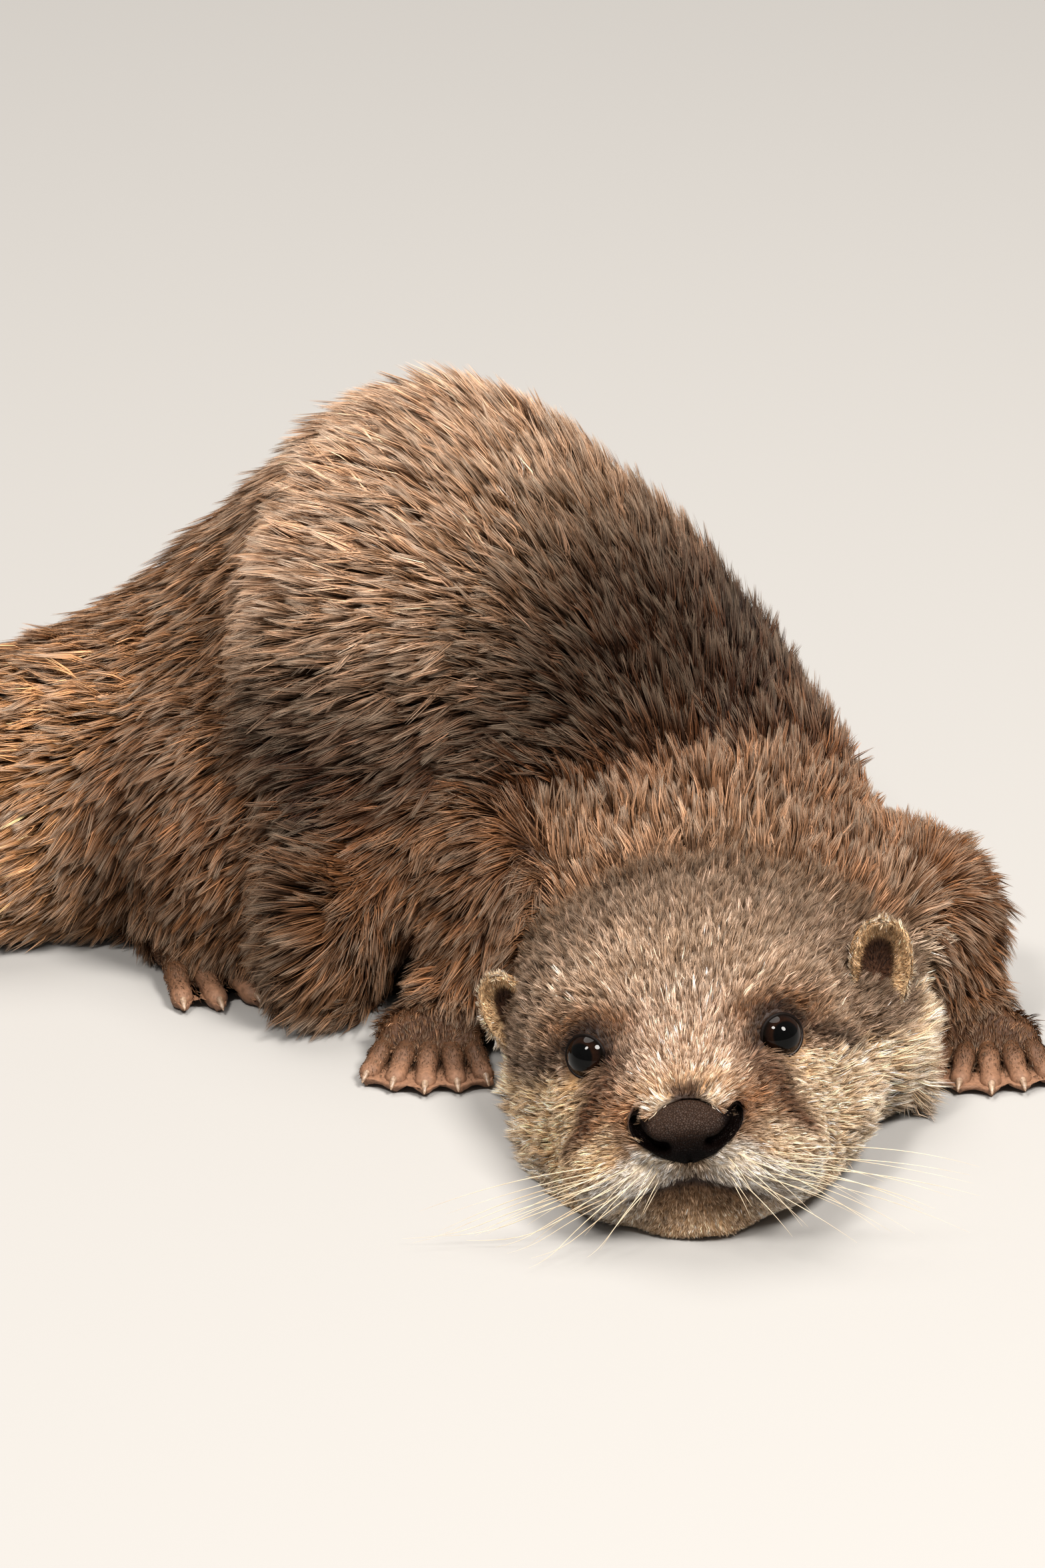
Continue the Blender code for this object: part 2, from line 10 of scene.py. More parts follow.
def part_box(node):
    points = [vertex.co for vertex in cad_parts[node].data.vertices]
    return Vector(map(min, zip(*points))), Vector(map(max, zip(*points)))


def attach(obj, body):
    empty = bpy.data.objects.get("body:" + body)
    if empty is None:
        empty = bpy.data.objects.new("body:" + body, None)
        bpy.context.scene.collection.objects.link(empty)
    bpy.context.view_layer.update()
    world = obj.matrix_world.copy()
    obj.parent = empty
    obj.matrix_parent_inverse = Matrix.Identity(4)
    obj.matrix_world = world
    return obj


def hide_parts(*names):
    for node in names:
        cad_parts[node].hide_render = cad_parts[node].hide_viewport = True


# A small-clawed otter at life size, chin on the floor, back hunched, tail laid along the floor.
# One skin is fused from the solids and lies inside them by the depth of the coat. The coat itself is
# blades of solid mesh that start on that skin and end near the solids' surface.

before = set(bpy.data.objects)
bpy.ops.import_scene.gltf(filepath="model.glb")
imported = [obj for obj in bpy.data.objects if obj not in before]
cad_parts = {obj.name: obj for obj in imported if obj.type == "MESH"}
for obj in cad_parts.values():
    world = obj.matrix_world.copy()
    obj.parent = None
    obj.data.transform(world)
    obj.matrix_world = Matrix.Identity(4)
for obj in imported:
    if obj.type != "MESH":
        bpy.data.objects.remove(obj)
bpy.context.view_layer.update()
rng = np.random.default_rng(11)

fleshNodes = ["skull", "jaw", "neck", "chest", "loin", "rump", "tail_base", "tail_middle", "tail_tip",
              "right_foreleg", "left_foreleg", "right_hindleg", "left_hindleg",
              "right_forepaw", "left_forepaw", "right_hindpaw", "left_hindpaw"]


# Small helpers.

def unit(a):
    # each vector over its own length
    return a / np.maximum(np.linalg.norm(a, axis=-1, keepdims=True), 1e-9)


def ease(x, start, end):
    # smooth step: 0 at start, 1 at end, in either direction
    t = np.clip((x - start) / (end - start), 0, 1)
    return t * t * (3 - 2 * t)


def bell(x, centre, width):
    # exp(-((x - centre) / width)^2)
    return np.exp(-((x - centre) / width) ** 2)


def tint(red, green, blue):
    # display colour 0..255 to linear light
    c = np.array((red, green, blue)) / 255
    return np.where(c <= 0.04045, c / 12.92, ((c + 0.055) / 1.055) ** 2.4)


def readMesh(mesh):
    # a mesh's points and triangles
    points = np.empty(len(mesh.vertices) * 3)
    mesh.vertices.foreach_get("co", points)
    mesh.calc_loop_triangles()
    faces = np.empty(len(mesh.loop_triangles) * 3, np.int32)
    mesh.loop_triangles.foreach_get("vertices", faces)
    return points.reshape(-1, 3), faces.reshape(-1, 3)


def makeObject(name, points, faces, colours=None, vectors=None, values=None, uv=None, smooth=True):
    # one mesh object at the origin; colours, vectors and values are point attributes by name
    mesh = bpy.data.meshes.new(name)
    corners = faces.shape[1]
    mesh.vertices.add(len(points))
    mesh.vertices.foreach_set("co", points.astype(np.float32).ravel())
    mesh.loops.add(faces.size)
    mesh.loops.foreach_set("vertex_index", faces.astype(np.int32).ravel())
    mesh.polygons.add(len(faces))
    mesh.polygons.foreach_set("loop_start", np.arange(0, faces.size, corners, dtype=np.int32))
    mesh.update(calc_edges=True)
    mesh.polygons.foreach_set("use_smooth", np.full(len(faces), smooth))
    rgba = {key: np.concatenate([value, np.ones((len(value), 1))], axis=1)
            for key, value in (colours or {}).items()}
    for attributes, kind, field in ((rgba, "FLOAT_COLOR", "color"), (vectors or {}, "FLOAT_VECTOR", "vector"),
                                    (values or {}, "FLOAT", "value")):
        for key, value in attributes.items():
            mesh.attributes.new(key, kind, "POINT").data.foreach_set(field, value.astype(np.float32).ravel())
    if uv is not None:
        mesh.uv_layers.new(name="OFBake").data.foreach_set("uv", uv[faces.ravel()].astype(np.float32).ravel())
    obj = bpy.data.objects.new(name, mesh)
    bpy.context.scene.collection.objects.link(obj)
    return obj


def circle(turns):
    # angles evenly round a full turn
    return np.linspace(0, 2 * np.pi, turns, endpoint=False)


def gridFaces(rows, columns):
    # quads of a rows by columns grid whose last column joins the first
    first = np.arange(rows - 1)[:, None] * columns
    here = np.arange(columns)[None, :]
    after = (here + 1) % columns
    quads = [first + here, first + after, first + columns + after, first + columns + here]
    return np.stack(quads, -1).reshape(-1, 4)


def ringFaces(rings, turns):
    # triangles of a tube of rings with a fan over each end, to the two points that closeEnds adds
    quads = gridFaces(rings, turns)
    here = np.arange(turns)
    after, last, end = (here + 1) % turns, (rings - 1) * turns, rings * turns
    return np.concatenate([quads[:, [0, 1, 2]], quads[:, [0, 2, 3]],
                           np.stack([here * 0 + end, after, here], 1),
                           np.stack([here * 0 + end + 1, last + here, last + after], 1)])


def closeEnds(points, turns):
    # the middles of the first and last ring join the points
    first, last = (ring.mean(0, keepdims=True) for ring in (points[:turns], points[-turns:]))
    return np.concatenate([points, first, last])


def ball(turns, rings):
    # unit sphere: (cos a sin b, sin a sin b, cos b), with a point at each pole
    a = circle(turns)[None, :]
    b = np.linspace(0, np.pi, rings + 1)[1:-1, None]
    points = np.stack([np.cos(a) * np.sin(b), np.sin(a) * np.sin(b), np.cos(b) + 0 * a], -1).reshape(-1, 3)
    return np.concatenate([points, [(0, 0, 1), (0, 0, -1)]]), ringFaces(rings - 1, turns)[:, [0, 2, 1]]


def joined(parts):
    # several meshes as one, from a list of (points, faces)
    starts = np.cumsum([0] + [len(points) for points, _ in parts[:-1]])
    return (np.concatenate([points for points, _ in parts]),
            np.concatenate([faces + start for (_, faces), start in zip(parts, starts)]))


def vertexNormals(points, faces):
    # at each point the sum of its triangles' cross products, made unit
    a, b, c = (points[faces[:, k]] for k in range(3))
    normal = np.cross(b - a, c - a)
    total = np.zeros_like(points)
    for k in range(3):
        for axis in range(3):
            total[:, axis] += np.bincount(faces[:, k], normal[:, axis], len(points))
    return unit(total)


def meshEdges(faces):
    # every edge once, as a pair of points
    pairs = np.concatenate([faces[:, [0, 1]], faces[:, [1, 2]], faces[:, [2, 0]]])
    pairs.sort(axis=1)
    return np.unique(pairs, axis=0)


def spread(values, edges, times, share=0.5):
    # each value moves by share towards the mean of its neighbours, times over
    values = np.array(values, float)
    flat = values.reshape(len(values), -1)
    a, b = edges.T
    count = np.maximum(np.bincount(a, minlength=len(flat)) + np.bincount(b, minlength=len(flat)), 1)
    share = np.broadcast_to(share, (len(flat),))
    for _ in range(times):
        for k in range(flat.shape[1]):
            column = flat[:, k]
            mean = (np.bincount(a, column[b], len(flat)) + np.bincount(b, column[a], len(flat))) / count
            flat[:, k] = column + (mean - column) * share
    return flat.reshape(values.shape)


def segmentDistance(p, a, b):
    # |p - (a + t (b - a))| at the nearest t between 0 and 1
    a, b = np.array(a, float), np.array(b, float)
    t = np.clip((p - a) @ (b - a) / ((b - a) @ (b - a)), 0, 1)
    return np.linalg.norm(p - (a + t[:, None] * (b - a)), axis=1)


def lineDistance(p, line):
    # distance to the nearest segment of a line of points
    return np.min([segmentDistance(p, a, b) for a, b in zip(line, line[1:])], axis=0)


# Where things are.

# the head's seat: from the nose pad's middle to the floor under the chin, from there to the head's own
# origin, and the head's turn in degrees
headSeat = {"noseToChin": (-0.00010, 0.00848, -0.02690), "chinToHead": (0.0, -0.012, 0.0275),
            "turn": (-5, -7.5, -0.3)}
noseLow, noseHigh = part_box("nose_pad")
chin = np.array((noseLow + noseHigh) / 2) + np.array(headSeat["noseToChin"])
headTurn = Euler([math.radians(angle) for angle in headSeat["turn"]], "XYZ")
headPlace = Matrix.Translation(Vector(chin) + Vector(headSeat["chinToHead"])) @ headTurn.to_matrix().to_4x4()
headAxes = np.array(headPlace.to_3x3())
headOrigin = np.array(headPlace.translation)

# the body's middle line in plan, from nose to tail tip, from the chin's place on the floor
bodyLine = np.array([
    (0.000, -0.012), (0.002, 0.020), (0.004, 0.045), (0.005, 0.062), (0.007, 0.087), (0.004, 0.109),
    (-0.007, 0.126), (-0.024, 0.141), (-0.044, 0.1515), (-0.064, 0.160), (-0.083, 0.167), (-0.101, 0.169),
    (-0.118, 0.166), (-0.136, 0.159), (-0.158, 0.150), (-0.188, 0.141), (-0.224, 0.137), (-0.266, 0.142),
    (-0.310, 0.158), (-0.348, 0.181), (-0.383, 0.212)]) + chin[:2]


def toHead(points):
    # world to the head's own frame, in millimetres: x to the animal's left, y back from the nose, z up
    return (points - headOrigin) @ headAxes * 1000


def fromHead(points):
    # the head's frame in millimetres back to the world in metres
    return (np.asarray(points) / 1000) @ headAxes.T + headOrigin


def alongBody(points):
    # share of the way from nose to tail tip, direction of the line there, and signed distance to its left
    steps = np.linspace(0, len(bodyLine) - 1, 220)
    knots = np.arange(len(bodyLine))
    line = np.stack([np.interp(steps, knots, bodyLine[:, k]) for k in range(2)], 1)
    for _ in range(12):
        line[1:-1] = (line[:-2] + 2 * line[1:-1] + line[2:]) / 4
    heading = unit(np.gradient(line, axis=0))
    reach = np.concatenate([[0], np.cumsum(np.linalg.norm(np.diff(line, axis=0), axis=1))])
    nearest = np.empty(len(points), int)
    batch = 20000  # keeps the table of distances small
    for first in range(0, len(points), batch):
        part = points[first:first + batch, None, :2]
        nearest[first:first + batch] = np.argmin(((part - line[None]) ** 2).sum(-1), axis=1)
    offset = points[:, :2] - line[nearest]
    direction = heading[nearest]
    side = direction[:, 0] * offset[:, 1] - direction[:, 1] * offset[:, 0]
    ahead = (direction * offset).sum(1)
    return (reach[nearest] + ahead) / reach[-1], direction, side


# Materials.

class Nodes:
    # thin helper round one material's node tree
    def __init__(self, name, roughness=0.5, specular=0.5, colour=None):
        self.material = bpy.data.materials.new(name)
        self.material.use_nodes = True
        self.tree = self.material.node_tree
        self.shader = self.tree.nodes["Principled BSDF"]
        self.shader.inputs["Roughness"].default_value = roughness
        self.shader.inputs["Specular IOR Level"].default_value = specular
        if colour is not None:
            self.shader.inputs["Base Color"].default_value = (*colour, 1)

    def feed(self, slot, value):
        # a socket is linked, a plain value is set
        if isinstance(value, bpy.types.NodeSocket):
            self.tree.links.new(value, slot)
        else:
            slot.default_value = value

    def add(self, kind, **inputs):
        node = self.tree.nodes.new(kind)
        for key, value in inputs.items():
            self.feed(node.inputs[key.replace("_", " ")], value)
        return node

    def attribute(self, name, output="Color"):
        node = self.add("ShaderNodeAttribute")
        node.attribute_name = name
        return node.outputs[output]

    def objectCoords(self):
        return self.add("ShaderNodeTexCoord").outputs["Object"]

    def stretched(self, vector, scale):
        # a pattern that reads these coordinates is squeezed by scale along each axis
        return self.add("ShaderNodeMapping", Vector=vector, Scale=scale).outputs["Vector"]

    def noise(self, vector, scale, detail=3.0):
        node = self.add("ShaderNodeTexNoise", Vector=vector, Scale=scale, Detail=detail, Roughness=0.6)
        return node.outputs["Fac"]

    def ramp(self, value, stops):
        node = self.add("ShaderNodeValToRGB", Fac=value)
        elements = node.color_ramp.elements
        while len(elements) < len(stops):
            elements.new(0.5)
        for element, (place, colour) in zip(elements, stops):
            element.position = place
            element.color = (*colour, 1)
        return node.outputs["Color"]

    def greys(self, value, *stops):
        # a ramp of greys from (place, grey) pairs
        return self.ramp(value, [(place, (grey, grey, grey)) for place, grey in stops])

    def times(self, first, second, share=1.0):
        # first times second, as far as share
        node = self.tree.nodes.new("ShaderNodeMix")
        node.data_type = "RGBA"
        node.blend_type = "MULTIPLY"
        for index, value in ((0, share), (6, first), (7, second)):  # the factor and the two colour sockets
            self.feed(node.inputs[index], value)
        return node.outputs[2]

    def math(self, kind, first, second):
        node = self.tree.nodes.new("ShaderNodeMath")
        node.operation = kind
        self.feed(node.inputs[0], first)
        self.feed(node.inputs[1], second)
        return node.outputs[0]

    def bump(self, height, distance, strength):
        node = self.add("ShaderNodeBump", Height=height, Distance=distance, Strength=strength)
        self.drive("Normal", node.outputs["Normal"])

    def drive(self, name, socket):
        # links a socket to the shader's own input
        self.tree.links.new(socket, self.shader.inputs[name])


def coatMaterial():
    # colour comes from each blade's own attribute, broken by fine streaks that run along the blade; the
    # streaks' dark ends are warm as painted shade and their pale ends cool as painted sheen
    m = Nodes("otterCoat", roughness=0.50, specular=0.15)
    strand = m.attribute("strand", "Vector")
    streak = m.noise(m.stretched(strand, (2.4, 0.9, 37.0)), 2.0, detail=2.0)
    # dark warm ends as painted shade, pale cool ends as painted sheen
    light = m.ramp(streak, [(0.30, (0.58, 0.50, 0.41)), (0.70, (1.30, 1.36, 1.44))])
    m.drive("Base Color", m.times(m.attribute("coatColour"), light))
    across = m.add("ShaderNodeSeparateXYZ", Vector=strand).outputs["X"]
    crown = m.math("SUBTRACT", 1.0, m.math("MULTIPLY", across, across))
    m.bump(m.math("ADD", crown, m.math("MULTIPLY", streak, 0.5)), 0.00010, 0.8)
    return m.material


def skinMaterial():
    # dark dense underfur and bare toe skin share the markings' attribute; the underfur is darkened and warmed
    # in part as painted shade deep in the coat; fine grain and wrinkles in bump
    m = Nodes("otterSkin", roughness=0.62, specular=0.3)
    place = m.objectCoords()
    grain = m.noise(place, 900.0, detail=4.0)
    wrinkle = m.noise(m.stretched(place, (1.0, 1.0, 2.2)), 320.0)
    shade = m.ramp(grain, [(0.32, (0.66, 0.64, 0.62)), (0.68, (1.18, 1.16, 1.14))])
    m.drive("Base Color", m.times(m.attribute("skinColour"), shade))
    m.bump(m.math("ADD", grain, wrinkle), 0.0003, 0.7)
    return m.material


# The fused skin.

# lengths in metres: how far the solids are swollen, the voxels' size and the floor the skin keeps above
skinSettings = {"swell": 0.00035, "cell": 0.00142, "floor": 0.0002, "bodySmoothing": 26, "faceSmoothing": 5}
earSeat = {"place": (35.0, 72.0, 4.0), "size": (7.0, 7.5, 9.0)}  # in the head's frame, in millimetres

# depth of the coat under the solids' surface, and length of the hair there, in metres
coatByNode = {
    "skull": (0.0030, 0.0060), "jaw": (0.0016, 0.0034), "neck": (0.0052, 0.0098), "chest": (0.0064, 0.0125),
    "loin": (0.0066, 0.0135), "rump": (0.0062, 0.0125), "tail_base": (0.0054, 0.0105),
    "tail_middle": (0.0042, 0.0085), "tail_tip": (0.0024, 0.0062), "foreleg": (0.0044, 0.0090),
    "hindleg": (0.0056, 0.0110), "forepaw": (0.0005, 0.0024), "hindpaw": (0.0005, 0.0024)}
regions = list(coatByNode)


def regionOf(node):
    # left and right limbs share a region
    return regions.index(node.replace("left_", "").replace("right_", ""))


def partOf(shares, *names):
    # share of each point that belongs to the named regions together
    return sum(shares[:, regions.index(name)] for name in names)


def fuseFlesh():
    # the solids are swollen by a hair so that their parting cuts close, and are fused by a voxel remesh;
    # the eyes and nose pad go in so that their places are filled, and a ball fills each ear's seat
    parts = []
    for name in fleshNodes + ["left_eye", "right_eye", "nose_pad"]:
        points, faces = readMesh(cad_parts[name].data)
        _, first, index = np.unique(np.round(points, 7), axis=0, return_index=True, return_inverse=True)
        points, faces = points[first], index.reshape(-1)[faces]
        parts.append((points + vertexNormals(points, faces) * skinSettings["swell"], faces))
    points, faces = ball(16, 10)
    for side in (-1, 1):
        seat = np.array(earSeat["place"]) * (side, 1, 1)
        parts.append((fromHead(points * earSeat["size"] + seat), faces))
    whole = makeObject("fusing", *joined(parts))
    fuse = whole.modifiers.new("fuse", "REMESH")
    fuse.mode = "VOXEL"
    fuse.voxel_size = skinSettings["cell"]
    bpy.context.view_layer.update()
    mesh = bpy.data.meshes.new_from_object(whole.evaluated_get(bpy.context.evaluated_depsgraph_get()))
    points, faces = readMesh(mesh)
    bpy.data.objects.remove(whole)
    return points, faces


def nodeShares(points, edges):
    # which solid each point belongs to, softened over the surface
    parts = [readMesh(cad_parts[name].data) for name in fleshNodes]
    owners = [regionOf(name) for name, (_, faces) in zip(fleshNodes, parts) for _ in faces]
    corners, faces = joined(parts)
    tree = BVHTree.FromPolygons(corners.tolist(), faces.tolist())
    nearest = np.array([owners[tree.find_nearest(point)[2]] for point in points.tolist()])
    return spread(np.eye(len(regions))[nearest], edges, 9, 0.7)


# in millimetres in the head's frame: the outline runs from its top middle round the animal's left side to
# its bottom middle, the nostril's slit from its outer end inwards; then the leather's colours: its own
# brown, and the painted shade that darkens it below, at the sides and in the nostrils
nosePad = {
    "outline": [(0.0, 6.2), (2.4, 6.0), (4.6, 5.3), (6.5, 4.3), (8.2, 3.5), (9.2, 4.7), (10.6, 5.4),
                (11.7, 4.5), (11.6, 2.9), (10.8, 1.2), (9.3, -0.6), (7.3, -2.4), (5.0, -4.0), (2.6, -4.7),
                (1.0, -5.3), (0.0, -5.0)],
    "nostril": [(10.7, 4.2), (10.4, 2.7), (9.3, 1.2), (7.6, -0.3), (6.0, -1.0), (4.9, -1.0)],
    "nostrilHalfWidth": 1.15, "nostrilDepth": 2.8, "bulge": 2.3, "slope": 0.20, "lean": 0.09,
    "middleLean": 0.015, "wrap": 0.06, "wrapFrom": 5, "middle": 1.0, "reach": 15, "sunk": 5.0,
    "rim": 0.45, "wing": 0.5, "furrow": 0.55, "edge": ((1.04, 0.35), (1.03, 1.3), (0.98, 3.0), (0.9, 5.0)),
    "rings": 64, "turns": 160,
    "leather": tint(47, 32, 23), "low": tint(17, 10, 7), "side": tint(5, 2, 2), "inside": tint(9, 4, 3)}


def noseWrap(x):
    # the pad bends back round the muzzle by wrap (|x| - wrapFrom)^2, and drops by half of that
    return nosePad["wrap"] * np.clip(np.abs(x) - nosePad["wrapFrom"], 0, None) ** 2


def insideNose(local):
    # millimetres inside the nose pad's outline seen from the front, negative outside it
    near = (local[:, 1] < nosePad["reach"]) & (np.abs(local[:, 0]) < nosePad["reach"])
    p = np.stack([np.abs(local[near, 0]), local[near, 2] + 0.5 * noseWrap(local[near, 0])], 1)
    line = np.array(nosePad["outline"])
    crossings = np.zeros(len(p), int)
    for a, b in zip(line, np.roll(line, -1, 0)):
        if a[1] != b[1]:
            spans = (a[1] > p[:, 1]) != (b[1] > p[:, 1])
            crossings += spans & (p[:, 0] < a[0] + (b[0] - a[0]) * (p[:, 1] - a[1]) / (b[1] - a[1]))
    reach = lineDistance(p, line)
    depth = np.full(len(local), -99.0)
    depth[near] = np.where(crossings % 2 == 1, reach, -reach)
    return depth


eyes = {"radius": 5.4, "place": (19.7, 28.3, 9.6), "outward": 30, "upward": 17, "opening": 57, "bulge": 0.28,
        "bulgeWidth": 27}


def eyeFrame(side):
    # centre, gaze, outward axis and upward axis of an eye, in the head's frame in millimetres
    x, y, z = eyes["place"]
    out, up = math.radians(eyes["outward"]), math.radians(eyes["upward"])
    gaze = np.array((side * math.sin(out) * math.cos(up), -math.cos(out) * math.cos(up), math.sin(up)))
    lateral = unit(np.cross(gaze, (0, 0, 1)) * side * -1)
    rise = unit(np.cross(lateral, gaze) * side)
    return np.array((x * side, y, z)), gaze, lateral, rise * np.sign(rise[2])


def fromEye(local, side):
    # way and distance from an eye's centre, and angle off its gaze in degrees
    centre, gaze = eyeFrame(side)[:2]
    away = local - centre
    far = np.linalg.norm(away, axis=1)
    return away, far, np.degrees(np.arccos(np.clip((away @ gaze) / np.maximum(far, 1e-6), -1, 1)))


# in millimetres: the skin over the ball and behind it, the hollow before the left ear, the pressed right
# cheek, the whisker pads forward and down, the lower lip back, and the mouth's groove
relief = {"overBall": 0.25, "behindBall": 1.0, "hollow": 3.6, "pressed": 2.3, "pad": 1.5, "padDown": 0.4,
          "lip": 1.9, "groove": 0.8}


def shapeFace(points):
    # the skin wraps each eyeball: inside the opening it dips behind the ball, round it it lies just over it;
    # all ranges are places in the head's frame
    local = toHead(points)
    radius, opening = eyes["radius"], eyes["opening"]
    for side in (-1, 1):
        away, far, angle = fromEye(local, side)
        near = far < 13
        hidden = ease(angle, opening + 9, opening + 1) * near
        hugged = ease(angle, 118, 80) * ease(far, 11.5, 7.0) * near
        target = radius + relief["overBall"] + np.clip(far - radius, 0, 6) * 0.40
        wanted = far + (target - far) * hugged
        wanted = wanted + (radius - relief["behindBall"] - wanted) * hidden
        local = eyeFrame(side)[0] + away * (wanted / np.maximum(far, 1e-6))[:, None]
    # the head narrows before the left ear, and the right cheek is pressed in
    x, y, z = local.T
    hollow = relief["hollow"] * bell(np.abs(x), 35, 9) * bell(y, 58, 13) * bell(z, 3, 12) * (x > 0)
    pressed = relief["pressed"] * ease(-x, 24, 36) * bell(z, -4, 13) * bell(y, 36, 22)
    local[:, 0] -= np.sign(x) * hollow - pressed
    # the muzzle draws back behind the nose pad, the whisker pads swell over the mouth, the lower lip lies
    # behind them, and a shallow furrow runs from nose to mouth
    x, y, z = local.T
    front = ease(y, 22, 12)
    local[:, 1] += nosePad["sunk"] * ease(insideNose(local), -0.5, 0.6)
    below = mouthDistance(local)
    pad = bell(np.abs(x), 8.5, 5.5) * bell(z, -9.5, 3.8) * front
    local[:, 1] -= pad * relief["pad"]
    local[:, 2] -= pad * relief["padDown"]
    lip = ease(below, 0.4, -0.8) * ease(z, -27, -21) * ease(np.abs(x), 20, 13) * front
    local[:, 1] += lip * relief["lip"]
    local[:, 1] += bell(below, -0.3, 0.8) * relief["groove"] * front * ease(np.abs(x), 22, 16)
    local[:, 1] += bell(x, 0, 0.8) * ease(z, -4.5, -6.0) * ease(z, -14.5, -12.0) * ease(y, 8, 4)
    return fromHead(local)


# the mouth's line in the head's frame, in millimetres; its middle is a little to the right
mouth = {"middle": -2.0, "top": -10.2, "bow": 0.4, "bowWidth": 6.0, "droop": 0.026}


def mouthDistance(local):
    # height above the mouth line in the head's frame, a bow high under the nose and drooping to its corners:
    # top - bow (1 - exp(-(x / bowWidth)^2)) - droop x^2
    x = local[:, 0] - mouth["middle"]
    bow = mouth["bow"] * (1 - np.exp(-(x / mouth["bowWidth"]) ** 2))
    return local[:, 2] - (mouth["top"] - bow - mouth["droop"] * x * x)


# in metres: each paw's wrist from the chin's place, the way its toes point in degrees, its length and width
paws = {"right_forepaw": ((-0.0560, 0.089), 178, 0.031, 0.024),
        "left_forepaw": ((0.0650, 0.091), 182, 0.031, 0.024),
        "right_hindpaw": ((-0.115, 0.136), -150, 0.042, 0.026),
        "left_hindpaw": ((-0.092, 0.209), -58, 0.042, 0.026)}


def overFloor(heading):
    # unit directions over the floor at a heading in degrees: ahead and aside
    turn = math.radians(heading)
    return np.array((-math.sin(turn), math.cos(turn))), np.array((math.cos(turn), math.sin(turn)))


def towardToes(points):
    # how far each point is along its nearest paw, as a share of the paw's length, and the toes' direction
    share, best, direction = np.zeros(len(points)), np.full(len(points), 1e9), np.zeros((len(points), 3))
    for (x, y), heading, length, _ in paws.values():
        aim = np.append(overFloor(heading)[0], 0)
        offset = points - np.array((x + chin[0], y + chin[1], 0.005))
        along = offset @ aim
        middle = np.linalg.norm(offset - aim * length * 0.4, axis=1)
        closer = middle < best
        best = np.where(closer, middle, best)
        share = np.where(closer, along / length, share)
        direction = np.where(closer[:, None], aim, direction)
    return share, direction


# shares of the paw's length and width, the fan in radians; radius, web and heights in millimetres
toes = {"base": 0.40, "reach": 0.56, "shorter": 0.12, "fan": 0.34, "spacing": 0.36, "radius": 2.35,
        "hind": 1.12, "taper": 0.16, "squash": 0.92, "web": 2.3, "low": 2.0, "rise": 3.2, "knuckle": 0.42,
        "end": 0.84, "turns": 14, "rings": 18, "coatDepth": 0.0003, "coatLength": 0.0016}


def toeLines():
    # for every toe, in world millimetres: start, direction over the floor, length, and its paw's name
    lines = []
    for name, ((x, y), heading, length, width) in paws.items():
        ahead, aside = overFloor(heading)
        wrist = np.array((x + chin[0], y + chin[1]))
        for toe in range(5):
            out = (toe - 2) / 2
            start = wrist + ahead * length * toes["base"] + aside * out * width * toes["spacing"]
            aim = ahead * math.cos(out * toes["fan"]) + aside * math.sin(out * toes["fan"])
            reach = length * (toes["reach"] - toes["shorter"] * abs(out) ** 1.5)
            lines.append((start * 1000, aim, reach * 1000, name))
    return lines


def flattenPaws(points, shares):
    # between the toes the paw is a low web, as far as the toes' own shapes stand on it
    web = ease(towardToes(points)[0], 0.40, 0.62) * np.clip(partOf(shares, "forepaw", "hindpaw") * 1.5, 0, 1)
    points[:, 2] += (np.minimum(points[:, 2], toes["web"] / 1000) - points[:, 2]) * web
    return points


def joinSkin(points, faces, region, depth, length):
    # a closed part joins the skin's arrays
    global skinPoints, skinFaces, shares, coatDepth, coatLength
    share = np.zeros((len(points), len(regions)))
    share[:, region] = 1
    skinFaces = np.concatenate([skinFaces, faces + len(skinPoints)])
    skinPoints = np.concatenate([skinPoints, points])
    shares = np.concatenate([shares, share])
    coatDepth = np.concatenate([coatDepth, np.full(len(points), depth)])
    coatLength = np.concatenate([coatLength, np.broadcast_to(length, len(points))])


def carriedRings(line, radius, aim, turns, squash):
    # a circle of the given radius, squashed in height, carried along a line; millimetres in, metres out
    a = circle(turns)[:, None]
    profile = np.cos(a) * np.array((aim[1], -aim[0], 0)) + np.sin(a) * np.array((0, 0, squash))
    points = (line[:, None] + profile[None] * radius[:, None, None]).reshape(-1, 3) / 1000
    points[:, 2] = np.maximum(points[:, 2], skinSettings["floor"])
    return closeEnds(points, turns)


def addToes():
    # each toe: radius r (1 - taper t) with a swelling at two knuckles and a rounded end, along a line that
    # comes down from the paw's back to the floor
    t = np.linspace(0, 1, toes["rings"])
    swell = 1 - toes["taper"] * t + 0.13 * bell(t, toes["knuckle"], 0.13) + 0.12 * bell(t, toes["end"], 0.12)
    closed = np.sqrt(np.clip(1 - np.clip((t - 0.86) / 0.14, 0, 0.985) ** 2, 0, 1))
    height = toes["low"] + toes["rise"] * (1 - t) ** 1.4 + 0.5 * bell(t, toes["knuckle"], 0.16)
    faces = ringFaces(toes["rings"], toes["turns"])[:, ::-1]
    for start, aim, reach, name in toeLines():
        radius = toes["radius"] * (toes["hind"] if "hind" in name else 1.0) * swell * closed
        line = np.concatenate([start + aim * (t * reach)[:, None], height[:, None]], 1)
        points = carriedRings(line, radius, aim, toes["turns"], toes["squash"])
        joinSkin(points, faces, regionOf(name), toes["coatDepth"], toes["coatLength"])


